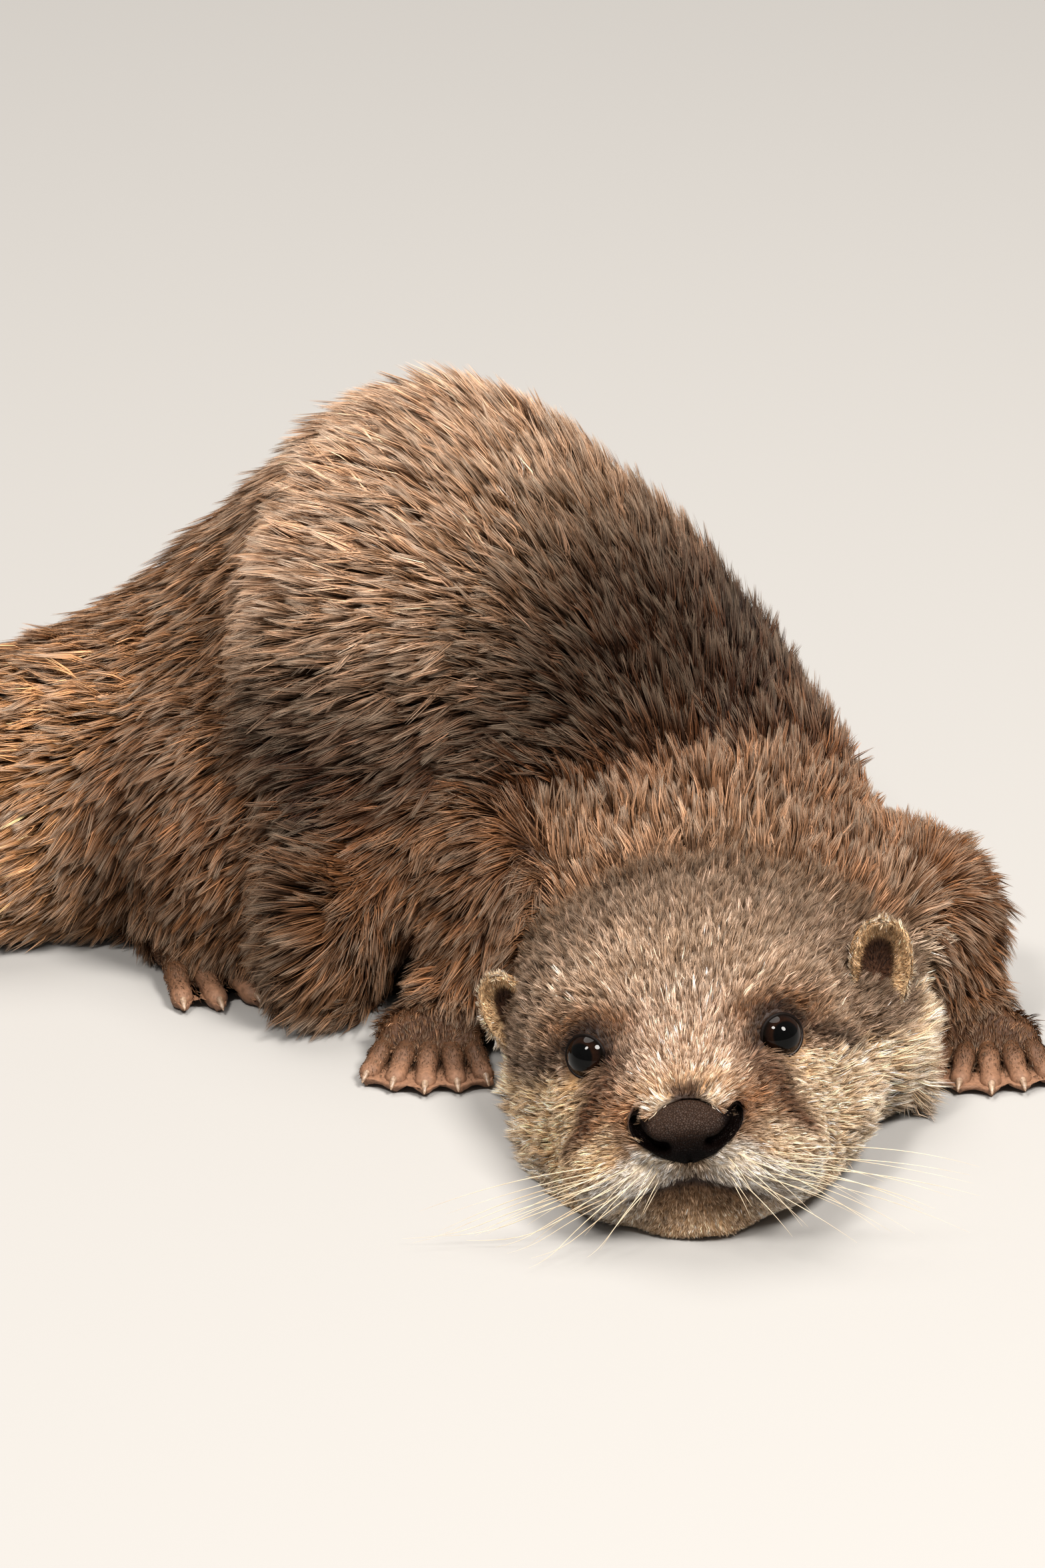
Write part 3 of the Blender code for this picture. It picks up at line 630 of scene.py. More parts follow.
def buildSkin():
    print("skin: fusing the solids")
    points, faces = fuseFlesh()
    edges = meshEdges(faces)
    shares = nodeShares(points, edges)
    onFace, onPaw = partOf(shares, "skull", "jaw"), partOf(shares, "forepaw", "hindpaw")
    front = ease(toHead(points)[:, 1], 62, 40) * onFace
    freedom = np.clip(1 - 0.90 * front - onPaw, 0, 1) * 0.6 * ease(points[:, 2], 0.0012, 0.006)
    points = spread(points, edges, skinSettings["bodySmoothing"], freedom)
    points = spread(points, edges, skinSettings["faceSmoothing"], 0.3)
    normals = unit(spread(vertexNormals(points, faces), edges, 4))
    depth, length = (shares @ np.array([coatByNode[name][k] for name in regions]) for k in range(2))
    depth, length = faceCoat(toHead(points), onFace, depth, length)
    flatUnder = ease(points[:, 2], 0.009, 0.001) * ease(normals[:, 2], -0.3, -0.8)
    depth = depth * (1 - 0.9 * flatUnder)
    points = points - normals * depth[:, None]
    points = flattenPaws(shapeFace(points), shares)
    points[:, 2] = np.maximum(points[:, 2], skinSettings["floor"])
    print("skin: triangles", len(faces))
    return points, faces, shares, depth, length


# the face's hair in metres: at the nose, gained by the back of the head, and gained on a cheek
faceHair = {"depth": (0.0007, 0.0030, 0.0012), "length": (0.0030, 0.0050, 0.0030)}


def faceCoat(local, onFace, depth, length):
    # short velvet at the nose, longer towards crown and cheeks; shorter round eyes, mouth and ears
    x, y, z = local.T
    wide = np.abs(x)
    back = ease(y, 2, 70)
    cheek = ease(wide, 18, 32) * ease(z, 6, -6) * ease(y, 14, 34)
    nose, gained, onCheek = faceHair["depth"]
    faceDepth = nose + gained * back ** 1.1 + onCheek * cheek
    nose, gained, onCheek = faceHair["length"]
    faceLength = nose + gained * back + onCheek * cheek
    for side in (-1, 1):
        nearEye = ease(fromEye(local, side)[1], 14, 7.5)
        faceDepth = faceDepth * (1 - 0.72 * nearEye)
        faceLength = faceLength * (1 - 0.45 * nearEye)
    under = mouthDistance(local)
    byMouth = ease(y, 30, 18) * ease(wide, 19, 14)
    chinShort = ease(under, 0.2, -1.0) * byMouth
    lipShort = ease(under, 3.2, 0.4) * ease(under, -0.2, 0.1) * byMouth
    faceLength = faceLength * (1 - 0.48 * chinShort - 0.45 * lipShort)
    faceDepth = faceDepth * (1 - 0.35 * chinShort)
    for side in (-1, 1):
        nearEar = ease(np.linalg.norm(local - np.array((35.5 * side, 63, 5)), axis=1), 17, 8)
        faceLength = faceLength * (1 - 0.35 * nearEar)
        faceDepth = faceDepth * (1 - 0.30 * nearEar)
    share = np.clip(onFace * 1.15, 0, 1)
    return depth + (faceDepth - depth) * share, length + (faceLength - length) * share


skinPoints, skinFaces, shares, coatDepth, coatLength = buildSkin()


# Ears, as part of the skin's mesh.

# the left ear stands, the right one is laid down a little: place in the head's frame in millimetres and
# scale; hair depth and length in metres, and how much shorter the hair is on the inner face
ear = {"halfWidth": 6.3, "halfHeight": 10.2, "bowl": 4.2, "rim": -2.6, "wall": 2.1, "lean": 8, "turn": 20,
       "left": ((41.0, 66.0, 8.0), 1.06), "right": ((-39.5, 69.5, 5.8), 0.82),
       "turns": 44, "rings": 12, "coatDepth": 0.0008, "coatLength": 0.0034, "innerShorter": 0.0010}


def earShell(side):
    # inner face: (w t cos a, rim + bowl (1 - t^2.2), h t sin a) for t from 0 to 1; outer face the same, one
    # wall behind, for t from 1 to 0; the rim between them is rounded, and its outer side curls forward
    turns, rings = ear["turns"], ear["rings"]
    t = np.linspace(0.04, 1, rings)[:, None]
    a = circle(turns)[None, :]
    broad = 1 + 0.06 * np.sin(a) - 0.05 * np.cos(2 * a)

    def sheet(t, behind, grow):
        x = (ear["halfWidth"] + grow) * t * np.cos(a) * broad
        z = (ear["halfHeight"] + grow) * t * np.sin(a)
        curl = 0.8 * t ** 3 * np.clip(np.cos(a - 0.5), 0, 1) ** 2
        y = ear["rim"] + ear["bowl"] * (1 - t ** 2.2) + behind + 0 * a - curl
        return np.stack([x, y, z], -1)

    rim = sheet(t[-1:], 0.5 * ear["wall"], 0.45)
    rows = np.concatenate([sheet(t, 0, 0), rim, sheet(t[::-1], ear["wall"], 0.1)])
    points = closeEnds(rows.reshape(-1, 3), turns)
    faces = ringFaces(len(rows), turns)
    inside = np.concatenate([np.ones(turns * rings), np.zeros(turns * (rings + 1)), [1, 0]])
    rimward = np.concatenate([np.repeat(t, turns), np.ones(turns), np.repeat(t[::-1], turns), [0, 0]])
    turn = Euler((0, math.radians(ear["lean"] * side), math.radians(ear["turn"] * side)), "XYZ").to_matrix()
    outward = unit(points * (1, 0, 1) + (0, -0.8, 2.0))
    place, scale = ear["left" if side > 0 else "right"]
    points = scale * points * (side, 1, 1) @ np.array(turn).T + np.array(place)
    outward = outward * (side, 1, 1) @ np.array(turn).T @ headAxes.T
    return fromHead(points), faces[:, ::side], inside, rimward, outward


def addEars():
    # which points are an ear's, whether they are in its hollow, how near the rim, and the hair's direction
    bodyCount = len(skinPoints)
    inside, rim, flow = np.zeros(bodyCount), np.zeros(bodyCount), np.zeros((bodyCount, 3))
    for side in (-1, 1):
        points, faces, isInside, rimward, outward = earShell(side)
        length = ear["coatLength"] - ear["innerShorter"] * isInside
        joinSkin(points, faces, regionOf("skull"), ear["coatDepth"], length)
        inside = np.concatenate([inside, isInside])
        rim = np.concatenate([rim, rimward])
        flow = np.concatenate([flow, outward])
    return np.arange(len(skinPoints)) >= bodyCount, inside, rim, flow


addToes()
isEar, earInside, earRim, earFlow = addEars()
skinEdges = meshEdges(skinFaces)
skinNormals = vertexNormals(skinPoints, skinFaces)
bodyShare, bodyHeading, bodySide = alongBody(skinPoints)
toeShare, toeDirection = towardToes(skinPoints)
onHead, onPaw = partOf(shares, "skull", "jaw"), partOf(shares, "forepaw", "hindpaw")


# The lie of the coat.

def inSurface(flow, normal):
    # what is left of a direction in the surface with that normal
    return flow - normal * (flow * normal).sum(1, keepdims=True)


# how far the hair turns down on steep skin, on the legs and on the rump, back on the forelegs, and away
# from and round each eye
lie = {"down": 0.45, "foreleg": 0.9, "forelegBack": -0.45, "hindleg": 0.7, "rump": 0.25, "fromEye": 1.3,
       "roundEye": 1.3}


def hairFlow():
    # direction of the hair in the skin: away from the nose on the head and round the eyes, towards the
    # tail and down on the trunk, down the legs and towards the toes
    local = toHead(skinPoints)
    part = {name: shares[:, k][:, None] for k, name in enumerate(regions)}
    down = np.array((0, 0, -1.0))
    backward = np.concatenate([bodyHeading, np.zeros((len(skinPoints), 1))], 1)
    steep = ease(skinNormals[:, 2], 0.95, 0.1)[:, None]
    flow = backward + down * lie["down"] * steep
    flow = flow + part["foreleg"] * (down * lie["foreleg"] + (0, lie["forelegBack"], 0))
    flow = flow + part["hindleg"] * (down * lie["hindleg"])
    flow = flow + part["rump"] * down * lie["rump"] * steep
    flow = flow * (1 - onPaw[:, None]) + toeDirection * onPaw[:, None]
    fromNose = (local - (0, 3.0, 1.0)) * (1.15, 1, 1)
    headFlow = unit(fromNose)
    for side in (-1, 1):
        _, gaze, _, rise = eyeFrame(side)
        away, far, _ = fromEye(local, side)
        close, above = ease(far, 15, 6.5), ease(away @ rise, -1.5, 1.5)
        circling = np.cross(unit(away), gaze)
        circling = circling * np.sign((circling * unit(fromNose)).sum(1, keepdims=True))
        headFlow = headFlow + unit(away) * (close * (lie["fromEye"] - 0.7 * above))[:, None]
        headFlow = headFlow + circling * (close * above * lie["roundEye"])[:, None]
    headFlow = unit(headFlow) @ headAxes.T
    headShare = np.clip(onHead * 1.1, 0, 1)[:, None]
    flow = unit(flow) * (1 - headShare) + headFlow * headShare
    flow = np.where(isEar[:, None], earFlow, flow)  # on the ears hair runs up and out to the rim
    flow = unit(spread(unit(inSurface(flow, skinNormals)), skinEdges, 6))
    return unit(inSurface(flow, skinNormals))


skinFlow = hairFlow()


# Markings and painted shade, shared by skin and coat.

brown = {
    # the flank's and the saddle's browns are dark as painted shade
    "back": tint(189, 146, 111), "shadedSaddle": tint(54, 29, 13), "flank": tint(54, 28, 11),
    "shoulder": tint(116, 73, 42), "rump": tint(146, 102, 66), "tailBase": tint(196, 142, 94),
    "tail": tint(118, 80, 50), "neckTop": tint(150, 111, 80), "throat": tint(242, 220, 190),
    "leg": tint(122, 82, 51), "belly": tint(128, 94, 64), "crown": tint(117, 93, 73),
    # between the eyes the pale brown is greyed a little as painted sheen
    "nape": tint(96, 70, 48), "forehead": tint(174, 142, 114), "betweenEyes": tint(202, 169, 142),
    "aboveNose": tint(206, 166, 126), "paleSpot": tint(242, 229, 209), "brow": tint(122, 80, 47),
    "eyeStreak": tint(46, 26, 13), "noseStripe": tint(84, 48, 25), "muzzlePatch": tint(154, 101, 60),
    # the chin's brown is in part painted shade under the lip
    "cheek": tint(236, 206, 169), "lip": tint(248, 240, 228), "chin": tint(174, 136, 101),
    # the philtrum's furrow is darkened as painted shade
    "noseFringe": tint(84, 58, 42), "philtrum": tint(172, 142, 108), "mouthShade": tint(64, 42, 28),
    "earEdge": tint(236, 208, 172), "earInside": tint(72, 45, 28), "toe": tint(128, 94, 72),
    # the lip skin's dark is in part painted shade in the mouth's crease
    "pawBack": tint(116, 82, 56), "lipSkinAndCreaseShade": tint(34, 18, 12), "noseRim": tint(36, 24, 18)}


def painted(colour, *layers):
    # colour + share (layer - colour), one layer after the other; a colour is one of the browns by name, or
    # an array
    if isinstance(colour, str):
        colour = np.tile(brown[colour], (len(layers[0][1]), 1))
    for layer, share in layers:
        layer = brown[layer] if isinstance(layer, str) else layer
        colour = colour + (layer - colour) * share[:, None]
    return colour


def patchNoise(points, size, seed):
    # slow patches about -1 to 1: a sum of seven sine waves whose directions the seed draws
    waves = np.random.default_rng(seed)
    total = 0
    for _ in range(7):
        direction = waves.normal(size=3)
        along = points @ (direction / np.linalg.norm(direction))
        total = total + np.sin(along * 2 * np.pi / (size * waves.uniform(0.6, 1.6)) + waves.uniform(0, 6.3))
    return total / 3.2


# the face's marks as lines in the head's frame: colour, points, half width in millimetres and strength; left
# side, mirrored for the right
faceMarks = [
    ("brow", [(13, 27, 17), (21, 31, 18.0), (29, 38, 12.5)], 5.0, 0.92),
    ("muzzlePatch", [(12, 6, 4), (17, 11, 4), (21, 11, 0)], 4.6, 0.85),
    ("noseStripe", [(15.0, 22, 10.5), (18.2, 17, 6.5), (21.8, 14, 1.5), (25, 11, -4.0)], 4.7, 0.95),
    ("noseStripe", [(17.5, 17, 7.5), (21.5, 14, 2.0)], 2.8, 0.5),
    ("eyeStreak", [(19.0, 28.4, 16.4), (23.2, 31, 14.9), (26.0, 31.5, 11.6), (29.2, 34, 8.2),
                   (33.0, 38.5, 4.4), (38, 47, -1.0)], 2.9, 0.97),
    ("eyeStreak", [(14.6, 24.5, 13.0), (16.5, 22.5, 10.5)], 1.7, 0.90)]

# the cheek's cream is bounded above by a line of heights z at depths y that drops to the rear
creamLine = {"y": (4, 18, 26, 34, 46, 60, 80), "z": (2.0, 7.0, 5.5, 3.0, -2.0, -5.0, -3.0)}


def faceColours(local, roots):
    # local is where the hair shows, roots where it starts
    x, y, z = local.T
    wide = np.abs(x)
    folded = np.stack([wide, y, z], 1)
    # uneven edges, in millimetres
    ragged = 1.1 * patchNoise(local, 5.0, 9) + 0.7 * patchNoise(local, 1.8, 10)
    # between the eyes a little greyed as painted sheen
    colour = painted("aboveNose", ("betweenEyes", ease(y, 8, 16)),
                     ("forehead", np.maximum(ease(y, 26, 40), ease(wide, 8, 16))),
                     ("crown", ease(y + ragged, 40, 66)), ("nape", 0.8 * ease(y + ragged, 72, 86)))
    # cream from under the eye back over the cheek to the throat; on the right side a little warmer and less
    # cream, painted warm shade on that side
    edge = np.interp(y, creamLine["y"], creamLine["z"])
    cream = ease(z - edge + 0.8 * ragged, 1.4, -1.6) * ease(wide, 14, 19) * np.where(x < 0, 0.90, 0.97)
    cheek = brown["cheek"] * np.array((1.0, 0.93, 0.80)) ** ease(x, 5, -5)[:, None]
    colour = painted(colour, (cheek, cream), ("throat", ease(z, -12, -20) * ease(y, 18, 32)))
    for name, line, width, strength in faceMarks:
        reach = np.clip(lineDistance(folded, line) + 0.35 * ragged, 0, None)
        colour = painted(colour, (name, strength * bell(reach, 0, width)))
    # the muzzle: white lips, a pale spot over each nostril, dark hair over the nose pad, a furrow under it
    # darkened as painted shade
    white = ease(z + 0.62 * np.clip(wide - 8, 0, 22) + 0.5 * ragged, 0.4, -1.8) * ease(y, 20, 12)
    spot = bell(np.hypot((wide - 5.7) / 3.6, (z - 6.8) / 2.4), 0, 1)
    fringe = ease(insideNose(roots), -2.8, -1.0) * ease(wide + ragged, 5.2, 2.2) * ease(z, 1, 3)
    furrow = ease(wide, 6.0, 2.0) * ease(z, -3.5, -5.0) * ease(y, 14, 9)
    colour = painted(colour, ("lip", white), ("paleSpot", 0.92 * spot * ease(y, 10, 6)),
                     ("noseFringe", 0.95 * fringe), ("philtrum", 0.75 * furrow))
    # the lower lip and chin, the chin's brown in part painted shade under the lip, with painted shade in the
    # mouth's line, and short dark hair round the eyes, darker above as painted shade under the brow
    under, byMouth = mouthDistance(roots), ease(y, 26, 14)
    # the chin's brown, in part painted shade under the lip
    lowerLip = painted("lip", ("chin", ease(wide + ragged, 17, 8)),
                       ("cheek", 0.6 * ease(z + ragged, -15, -24)))
    away = np.linalg.norm(folded - np.array(eyes["place"]), axis=1)
    # the ring round each eye is darker above as painted shade under the brow
    above = ease(z - eyes["place"][2], -1.5, 2.5)
    return painted(colour, (lowerLip, ease(under, -0.5, -1.6) * byMouth),
                   ("mouthShade", 0.85 * bell(under, -1.3, 1.7) * byMouth * ease(wide, 18, 12)),
                   ("eyeStreak", (0.12 + 0.76 * above) * ease(away, 8.0, 6.4)))


def markingsAndShade():
    # colour half way up the hair for every point of the skin: the markings, with painted shade on the low
    # flanks and the saddle
    local = toHead(skinPoints)
    shown = toHead(skinPoints + skinFlow * coatLength[:, None] * 0.6 + skinNormals * coatDepth[:, None] * 0.8)
    part = {name: shares[:, k] for k, name in enumerate(regions)}
    z = skinPoints[:, 2]
    low = ease(z, 0.050, 0.012)

    def patches(size, seed, reach=0.008):
        return reach * patchNoise(skinPoints, size, seed)

    # the saddle between neck and hump is the darkest and the low flanks are dark, both painted shade; the
    # hump's top is the palest, as painted light from above
    back = painted("flank", ("back", ease(z + patches(0.05, 8), 0.058, 0.100)),
                   ("rump", ease(bodyShare + patches(0.03, 12), 0.37, 0.465)))
    onShoulder = np.maximum(ease(local[:, 1], 92, 112), ease(local[:, 0], 14, 34) * ease(z, 0.026, 0.040))
    neck = painted("neckTop", ("throat", ease(z + patches(0.02, 5, 0.004), 0.036, 0.020)),
                   ("shoulder", 0.6 * onShoulder))
    chest = painted(back, ("shadedSaddle", bell(bodyShare, 0.245, 0.050) * ease(z, 0.045, 0.070)),
                    ("shoulder", ease(z, 0.065, 0.040)), ("belly", 0.5 * low))
    hindleg = painted(chest, ("leg", np.full(len(z), 0.4)))
    tail = painted("tailBase", ("tail", ease(bodyShare + patches(0.02, 6, 0.01), 0.56, 0.76)))
    ears = painted("brow", ("earEdge", ease(earRim, 0.35, 0.72)),
                   ("earInside", earInside * ease(earRim, 0.70, 0.45)))
    colour = painted(back, ("belly", 0.5 * low), (neck, part["neck"]), (chest, part["chest"]),
                     (tail, ease(bodyShare + patches(0.02, 13), 0.465, 0.56)), ("leg", part["foreleg"]),
                     (hindleg, part["hindleg"]), ("pawBack", onPaw),
                     (faceColours(shown, local), np.clip(onHead * 1.1, 0, 1)))
    colour = np.where(isEar[:, None], ears, colour)
    shade = 1 + patches(0.030, 3, 0.12) + patches(0.009, 4, 0.10)
    return np.clip(colour * shade[:, None], 0, 1)


markAndShadeColour = markingsAndShade()
bare = np.clip(onPaw * 1.2, 0, 1) * ease(toeShare, 0.50, 0.86)


def lipLine(low, width):
    # the line of the closed mouth, from corner to corner, dark with lip skin and with painted shade in its
    # crease
    local = toHead(skinPoints)
    nearMouth = ease(local[:, 1], 26, 16) * ease(np.abs(local[:, 0]), 19, 14)
    return bell(mouthDistance(local), low, width) * nearMouth * onHead * ~isEar


# the skin under the hair, darker and warmer than the hair in part as painted shade deep in the coat: its
# share of the hair's colour, what pale hair adds to that, the share on the ears, and a warmer cast
underfur = {"share": 0.42, "paleAdds": 0.34, "earShare": 0.95, "warm": (1.0, 0.83, 0.62)}


def dressSkin():
    # the markings darkened and warmed, in part as painted shade deep in the coat, then bare toes, ear
    # hollows, the mouth's line with its painted shade, and the nose pad's rim
    pale = ease(markAndShadeColour.mean(1, keepdims=True), 0.25, 0.60)
    share = np.where(isEar[:, None], underfur["earShare"], underfur["share"] + underfur["paleAdds"] * pale)
    colour = painted(markAndShadeColour * share * np.array(underfur["warm"]) ** (1 - 0.5 * pale),
                     ("toe", bare), ("earInside", isEar * earInside * ease(earRim, 0.74, 0.50)),
                     # dark lip skin along the mouth's line, with painted shade in its crease
                     ("lipSkinAndCreaseShade", 0.95 * lipLine(-1.1, 1.8)),
                     ("noseRim", 0.9 * ease(insideNose(toHead(skinPoints)), -1.3, -0.5)))
    skin = makeObject("skin", skinPoints, skinFaces, colours={"skinColour": np.clip(colour, 0, 1)})
    skin.data.materials.append(skinMaterial())
    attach(skin, "root")
    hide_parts("left_ear", "right_ear", *fleshNodes)


dressSkin()


# Where hair grows.

def coatDensity():
    # share of the hairs a kind may have: none under the belly, in the eyes' openings, behind the nose pad,
    # on the mouth's line or on the bare toes, and fewer in the ears
    local = toHead(skinPoints)
    wanted = np.ones(len(skinPoints))
    for side in (-1, 1):
        _, far, angle = fromEye(local, side)
        wanted *= 1 - ease(angle, eyes["opening"] + 8, eyes["opening"] + 3) * (far < 8.5)
    wanted *= 1 - ease(insideNose(local), -0.4, 0.3)
    wanted *= 1 - bare
    wanted *= 1 - ease(skinPoints[:, 2], 0.0035, 0.0015) * ease(skinNormals[:, 2], -0.2, -0.6)
    wanted *= 1 - lipLine(-0.9, 1.0)
    wanted *= np.where(isEar, 0.55 + 0.45 * ease(earRim, 0.6, 0.95), 1)
    wanted *= np.where(isEar & (earInside > 0.5), 0.6, 1)
    return np.clip(wanted, 0, 1)


# Growing the coat.

# per kind: hairs per square centimetre, blade width in metres, hairs to a lock, pull of a lock and of a
# clump of locks, rows of the blade, spread of a lock's direction, how dark the roots are (the hair's own
# darker base and painted shade deep in the coat) and how pale the tips are, how much the tone varies, and
# the number of pieces
coatKinds = {
    "head": {"perCm2": 1230, "width": 0.00018, "toLock": 8, "pull": 0.52, "clump": 0.12,
             "rows": (0.0, 0.55), "wander": 0.12, "rootShade": 0.16, "tipPale": 0.46, "tipFloor": 0.06,
             "tone": 0.44, "pieces": 3},
    "trunk": {"perCm2": 478, "width": 0.00028, "toLock": 12, "pull": 0.72, "clump": 0.42,
              "rows": (0.0, 0.52), "wander": 0.20, "rootShade": 0.10, "tipPale": 0.60, "tipFloor": 0.17,
              "tone": 0.38, "pieces": 5},
    "limbs": {"perCm2": 405, "width": 0.00027, "toLock": 9, "pull": 0.62, "clump": 0.25,
              "rows": (0.0, 0.5), "wander": 0.18, "rootShade": 0.18, "tipPale": 0.52, "tipFloor": 0.16,
              "tone": 0.34, "pieces": 2}}

# for every blade: metres its foot is sunk in the skin and its least height, its curve and taper, its roll
# in radians, its width in the UV map, locks to a clump, and the colours of the palest tips, greyed in part as
# painted sheen, of dark roots, warmed as painted shade, and of dark tips
blade = {"sunk": 0.0005, "floor": 0.00025, "curve": 1.7, "taper": 0.55, "taperCurve": 1.6, "roll": 0.60,
         "uvWidth": 0.0015, "locksToClump": 5, "palest": tint(209, 195, 181), "rootTint": (1.18, 0.81, 0.50),
         "tipTint": (1.0, 0.85, 0.69), "toneTint": (1.0, 1.10, 1.26)}


def kindShares():
    # each point's share of the three kinds; the trunk is what head and limbs leave
    limbs = partOf(shares, "foreleg", "forepaw", "hindpaw", "tail_middle", "tail_tip")
    return {"head": onHead, "trunk": np.clip(1 - onHead - limbs, 0, 1), "limbs": limbs}


def sowRoots(count, weights):
    # random places on the skin's triangles, spread evenly by area times the weight of their corners
    a, b, c = (skinPoints[skinFaces[:, k]] for k in range(3))
    area = np.linalg.norm(np.cross(b - a, c - a), axis=1) / 2
    total = np.cumsum(area * weights[skinFaces].mean(1))
    picks = (np.arange(count) + rng.random(count)) / count * total[-1]
    face = np.clip(np.searchsorted(total, picks), 0, len(skinFaces) - 1)
    u, v = rng.random(count), rng.random(count)
    flip = u + v > 1
    u, v = np.where(flip, 1 - u, u), np.where(flip, 1 - v, v)
    corner = np.stack([1 - u - v, u, v], 1)

    def at(values):
        picked = values[skinFaces[face]]
        return (picked * (corner[:, :, None] if picked.ndim == 3 else corner)).sum(1)

    return at, total[-1]


def gather(root, count):
    # that many roots are seeds; each root belongs to the nearest seed, and a draw gives all of a seed's
    # roots the same value
    seeds = rng.choice(len(root), max(count, 1), replace=False)
    tree = KDTree(len(seeds))
    for index, point in enumerate(root[seeds].tolist()):
        tree.insert(point, index)
    tree.balance()
    nearest = np.array([tree.find(point)[1] for point in root.tolist()])
    return seeds[nearest], lambda size: rng.normal(0, size, len(seeds))[nearest]


# height in metres of the body's middle at shares of the way from nose to tail tip
bodyHeight = {"share": (0, 0.12, 0.3, 0.45, 0.62, 0.75, 1),
              "middle": (0.02, 0.021, 0.042, 0.046, 0.024, 0.015, 0.003)}


def unwrap(places, share, side, isHead, onLimb):
    # an unwrap of the skin's own shape: trunk and tail as length along the body against angle round it,
    # the head as directions seen from its middle, paws and legs as plan views by height
    if isHead:
        local = unit(toHead(places) - (0, 42, -4))
        reach = np.arccos(np.clip(-local[:, 1], -1, 1)) / np.pi
        around = np.arctan2(local[:, 2], local[:, 0])
        return np.stack([0.25 + 0.23 * reach * np.cos(around), 0.74 + 0.23 * reach * np.sin(around)], 1)
    middle = np.interp(share, bodyHeight["share"], bodyHeight["middle"])
    turn = np.arctan2(side, places[:, 2] - middle) / (2 * np.pi) + 0.5
    trunk = np.stack([0.02 + 0.96 * np.clip(share, 0, 1), 0.02 + 0.44 * turn], 1)
    plan = (places[:, :2] - chin[:2]) / 0.26
    along = 0.76 + 0.22 * np.clip(plan[:, 0] * 2 + 0.4, -1, 1)
    limb = np.stack([along, 0.62 + 0.30 * plan[:, 1] + places[:, 2]], 1)
    return np.where(onLimb[:, None], limb, trunk)


def bendBlades(at, root, settings, draws, groups):
    # a blade is a narrow tapering strip: P(t) = root + L t flow + lift(t) normal, where
    # lift(t) = depth (1 - (1 - t)^curve) and the half width is w (1 - taper t^taperCurve) / 2; locks draw
    # their blades' tips together
    own, shared, clumped = draws
    count = len(root)
    normal = unit(at(skinNormals))
    flow = unit(inSurface(at(skinFlow), normal))
    wander = settings["wander"]
    swing = shared(wander) + clumped(wander * 0.5) + own(wander * 0.40)
    flow = unit(flow + np.cross(normal, flow) * swing[:, None])
    length = at(coatLength) * np.clip(1 + shared(0.16) + own(0.12), 0.5, 1.5)
    rise = at(coatDepth) * np.clip(0.92 + shared(0.22) + clumped(0.16) + own(0.12), 0.2, 1.45)
    width = settings["width"] * np.clip(1 + own(0.22), 0.5, 1.7)
    width = width * np.clip(length / length.mean(), 0.55, 1.2) ** 0.5
    bend = np.cross(normal, flow) * (length * (shared(0.10) + own(0.05)))[:, None]
    tip = root + flow * length[:, None] + normal * rise[:, None] + bend
    drawn = 0
    for seed, pull in zip(groups, (settings["pull"], settings["clump"])):
        apart = np.linalg.norm(root - root[seed], axis=1)
        pull = pull * np.clip(1.1 - apart / (length * 0.7), 0, 1)
        drawn = drawn + (tip[seed] - tip - drawn) * pull[:, None]
    roll = own(blade["roll"])
    across = unit(np.cross(normal, flow))
    across = across * np.cos(roll)[:, None] + normal * np.sin(roll)[:, None]
    random = rng.random(count)
    points, strand = [], []
    for t in settings["rows"]:
        lift = rise * (1 - (1 - t) ** blade["curve"]) - blade["sunk"] * (t == 0)
        line = root + flow * (length * t)[:, None] + normal * lift[:, None]
        line = line + drawn * t ** 1.5 + bend * t * t
        half = across * (width * (1.0 - blade["taper"] * t ** blade["taperCurve"]) / 2)[:, None]
        points += [line - half, line + half]
        strand += [np.stack([np.full(count, edge), np.full(count, t), random], 1) for edge in (-1.0, 1.0)]
    points.append(tip + drawn)
    strand.append(np.stack([np.zeros(count), np.ones(count), random], 1))
    points, strand = np.stack(points, 1), np.stack(strand, 1)
    points[:, :, 2] = np.maximum(points[:, :, 2], blade["floor"])
    return points, strand


def colourBlades(colour, t, settings, own, shared):
    # from a dark root, partly painted shade deep in the coat, through the markings to a pale tip, partly
    # painted sheen, and different from lock to lock and hair to hair
    palest = blade["palest"]
    tone = np.exp(shared(settings["tone"] * 0.9) + own(settings["tone"]))[:, None]
    bright = np.clip(colour.mean(1, keepdims=True) / palest.mean(), 0.02, 1.4) ** 0.7
    warm = np.clip(1 - bright, 0, 1)
    paleness = np.clip(settings["tipPale"] * (1 + shared(0.45) + own(0.25)), 0.02, 0.98)[:, None]
    colour = colour * tone ** np.array(blade["toneTint"])
    tipColour = palest * np.array(blade["tipTint"]) ** warm * (settings["tipFloor"] + bright)
    tipColour = colour + (tipColour - colour) * paleness
    rootShade = settings["rootShade"] + 0.24 * ease(bright, 0.6, 1.05)
    rootShade = (rootShade * np.array(blade["rootTint"]) ** (0.9 + 0.3 * warm))[:, None]
    along = colour[:, None] * (rootShade + (1 - rootShade) * ease(t, 0.15, 0.80))
    return along + (tipColour[:, None] - along) * ease(t, 0.55, 1.0)


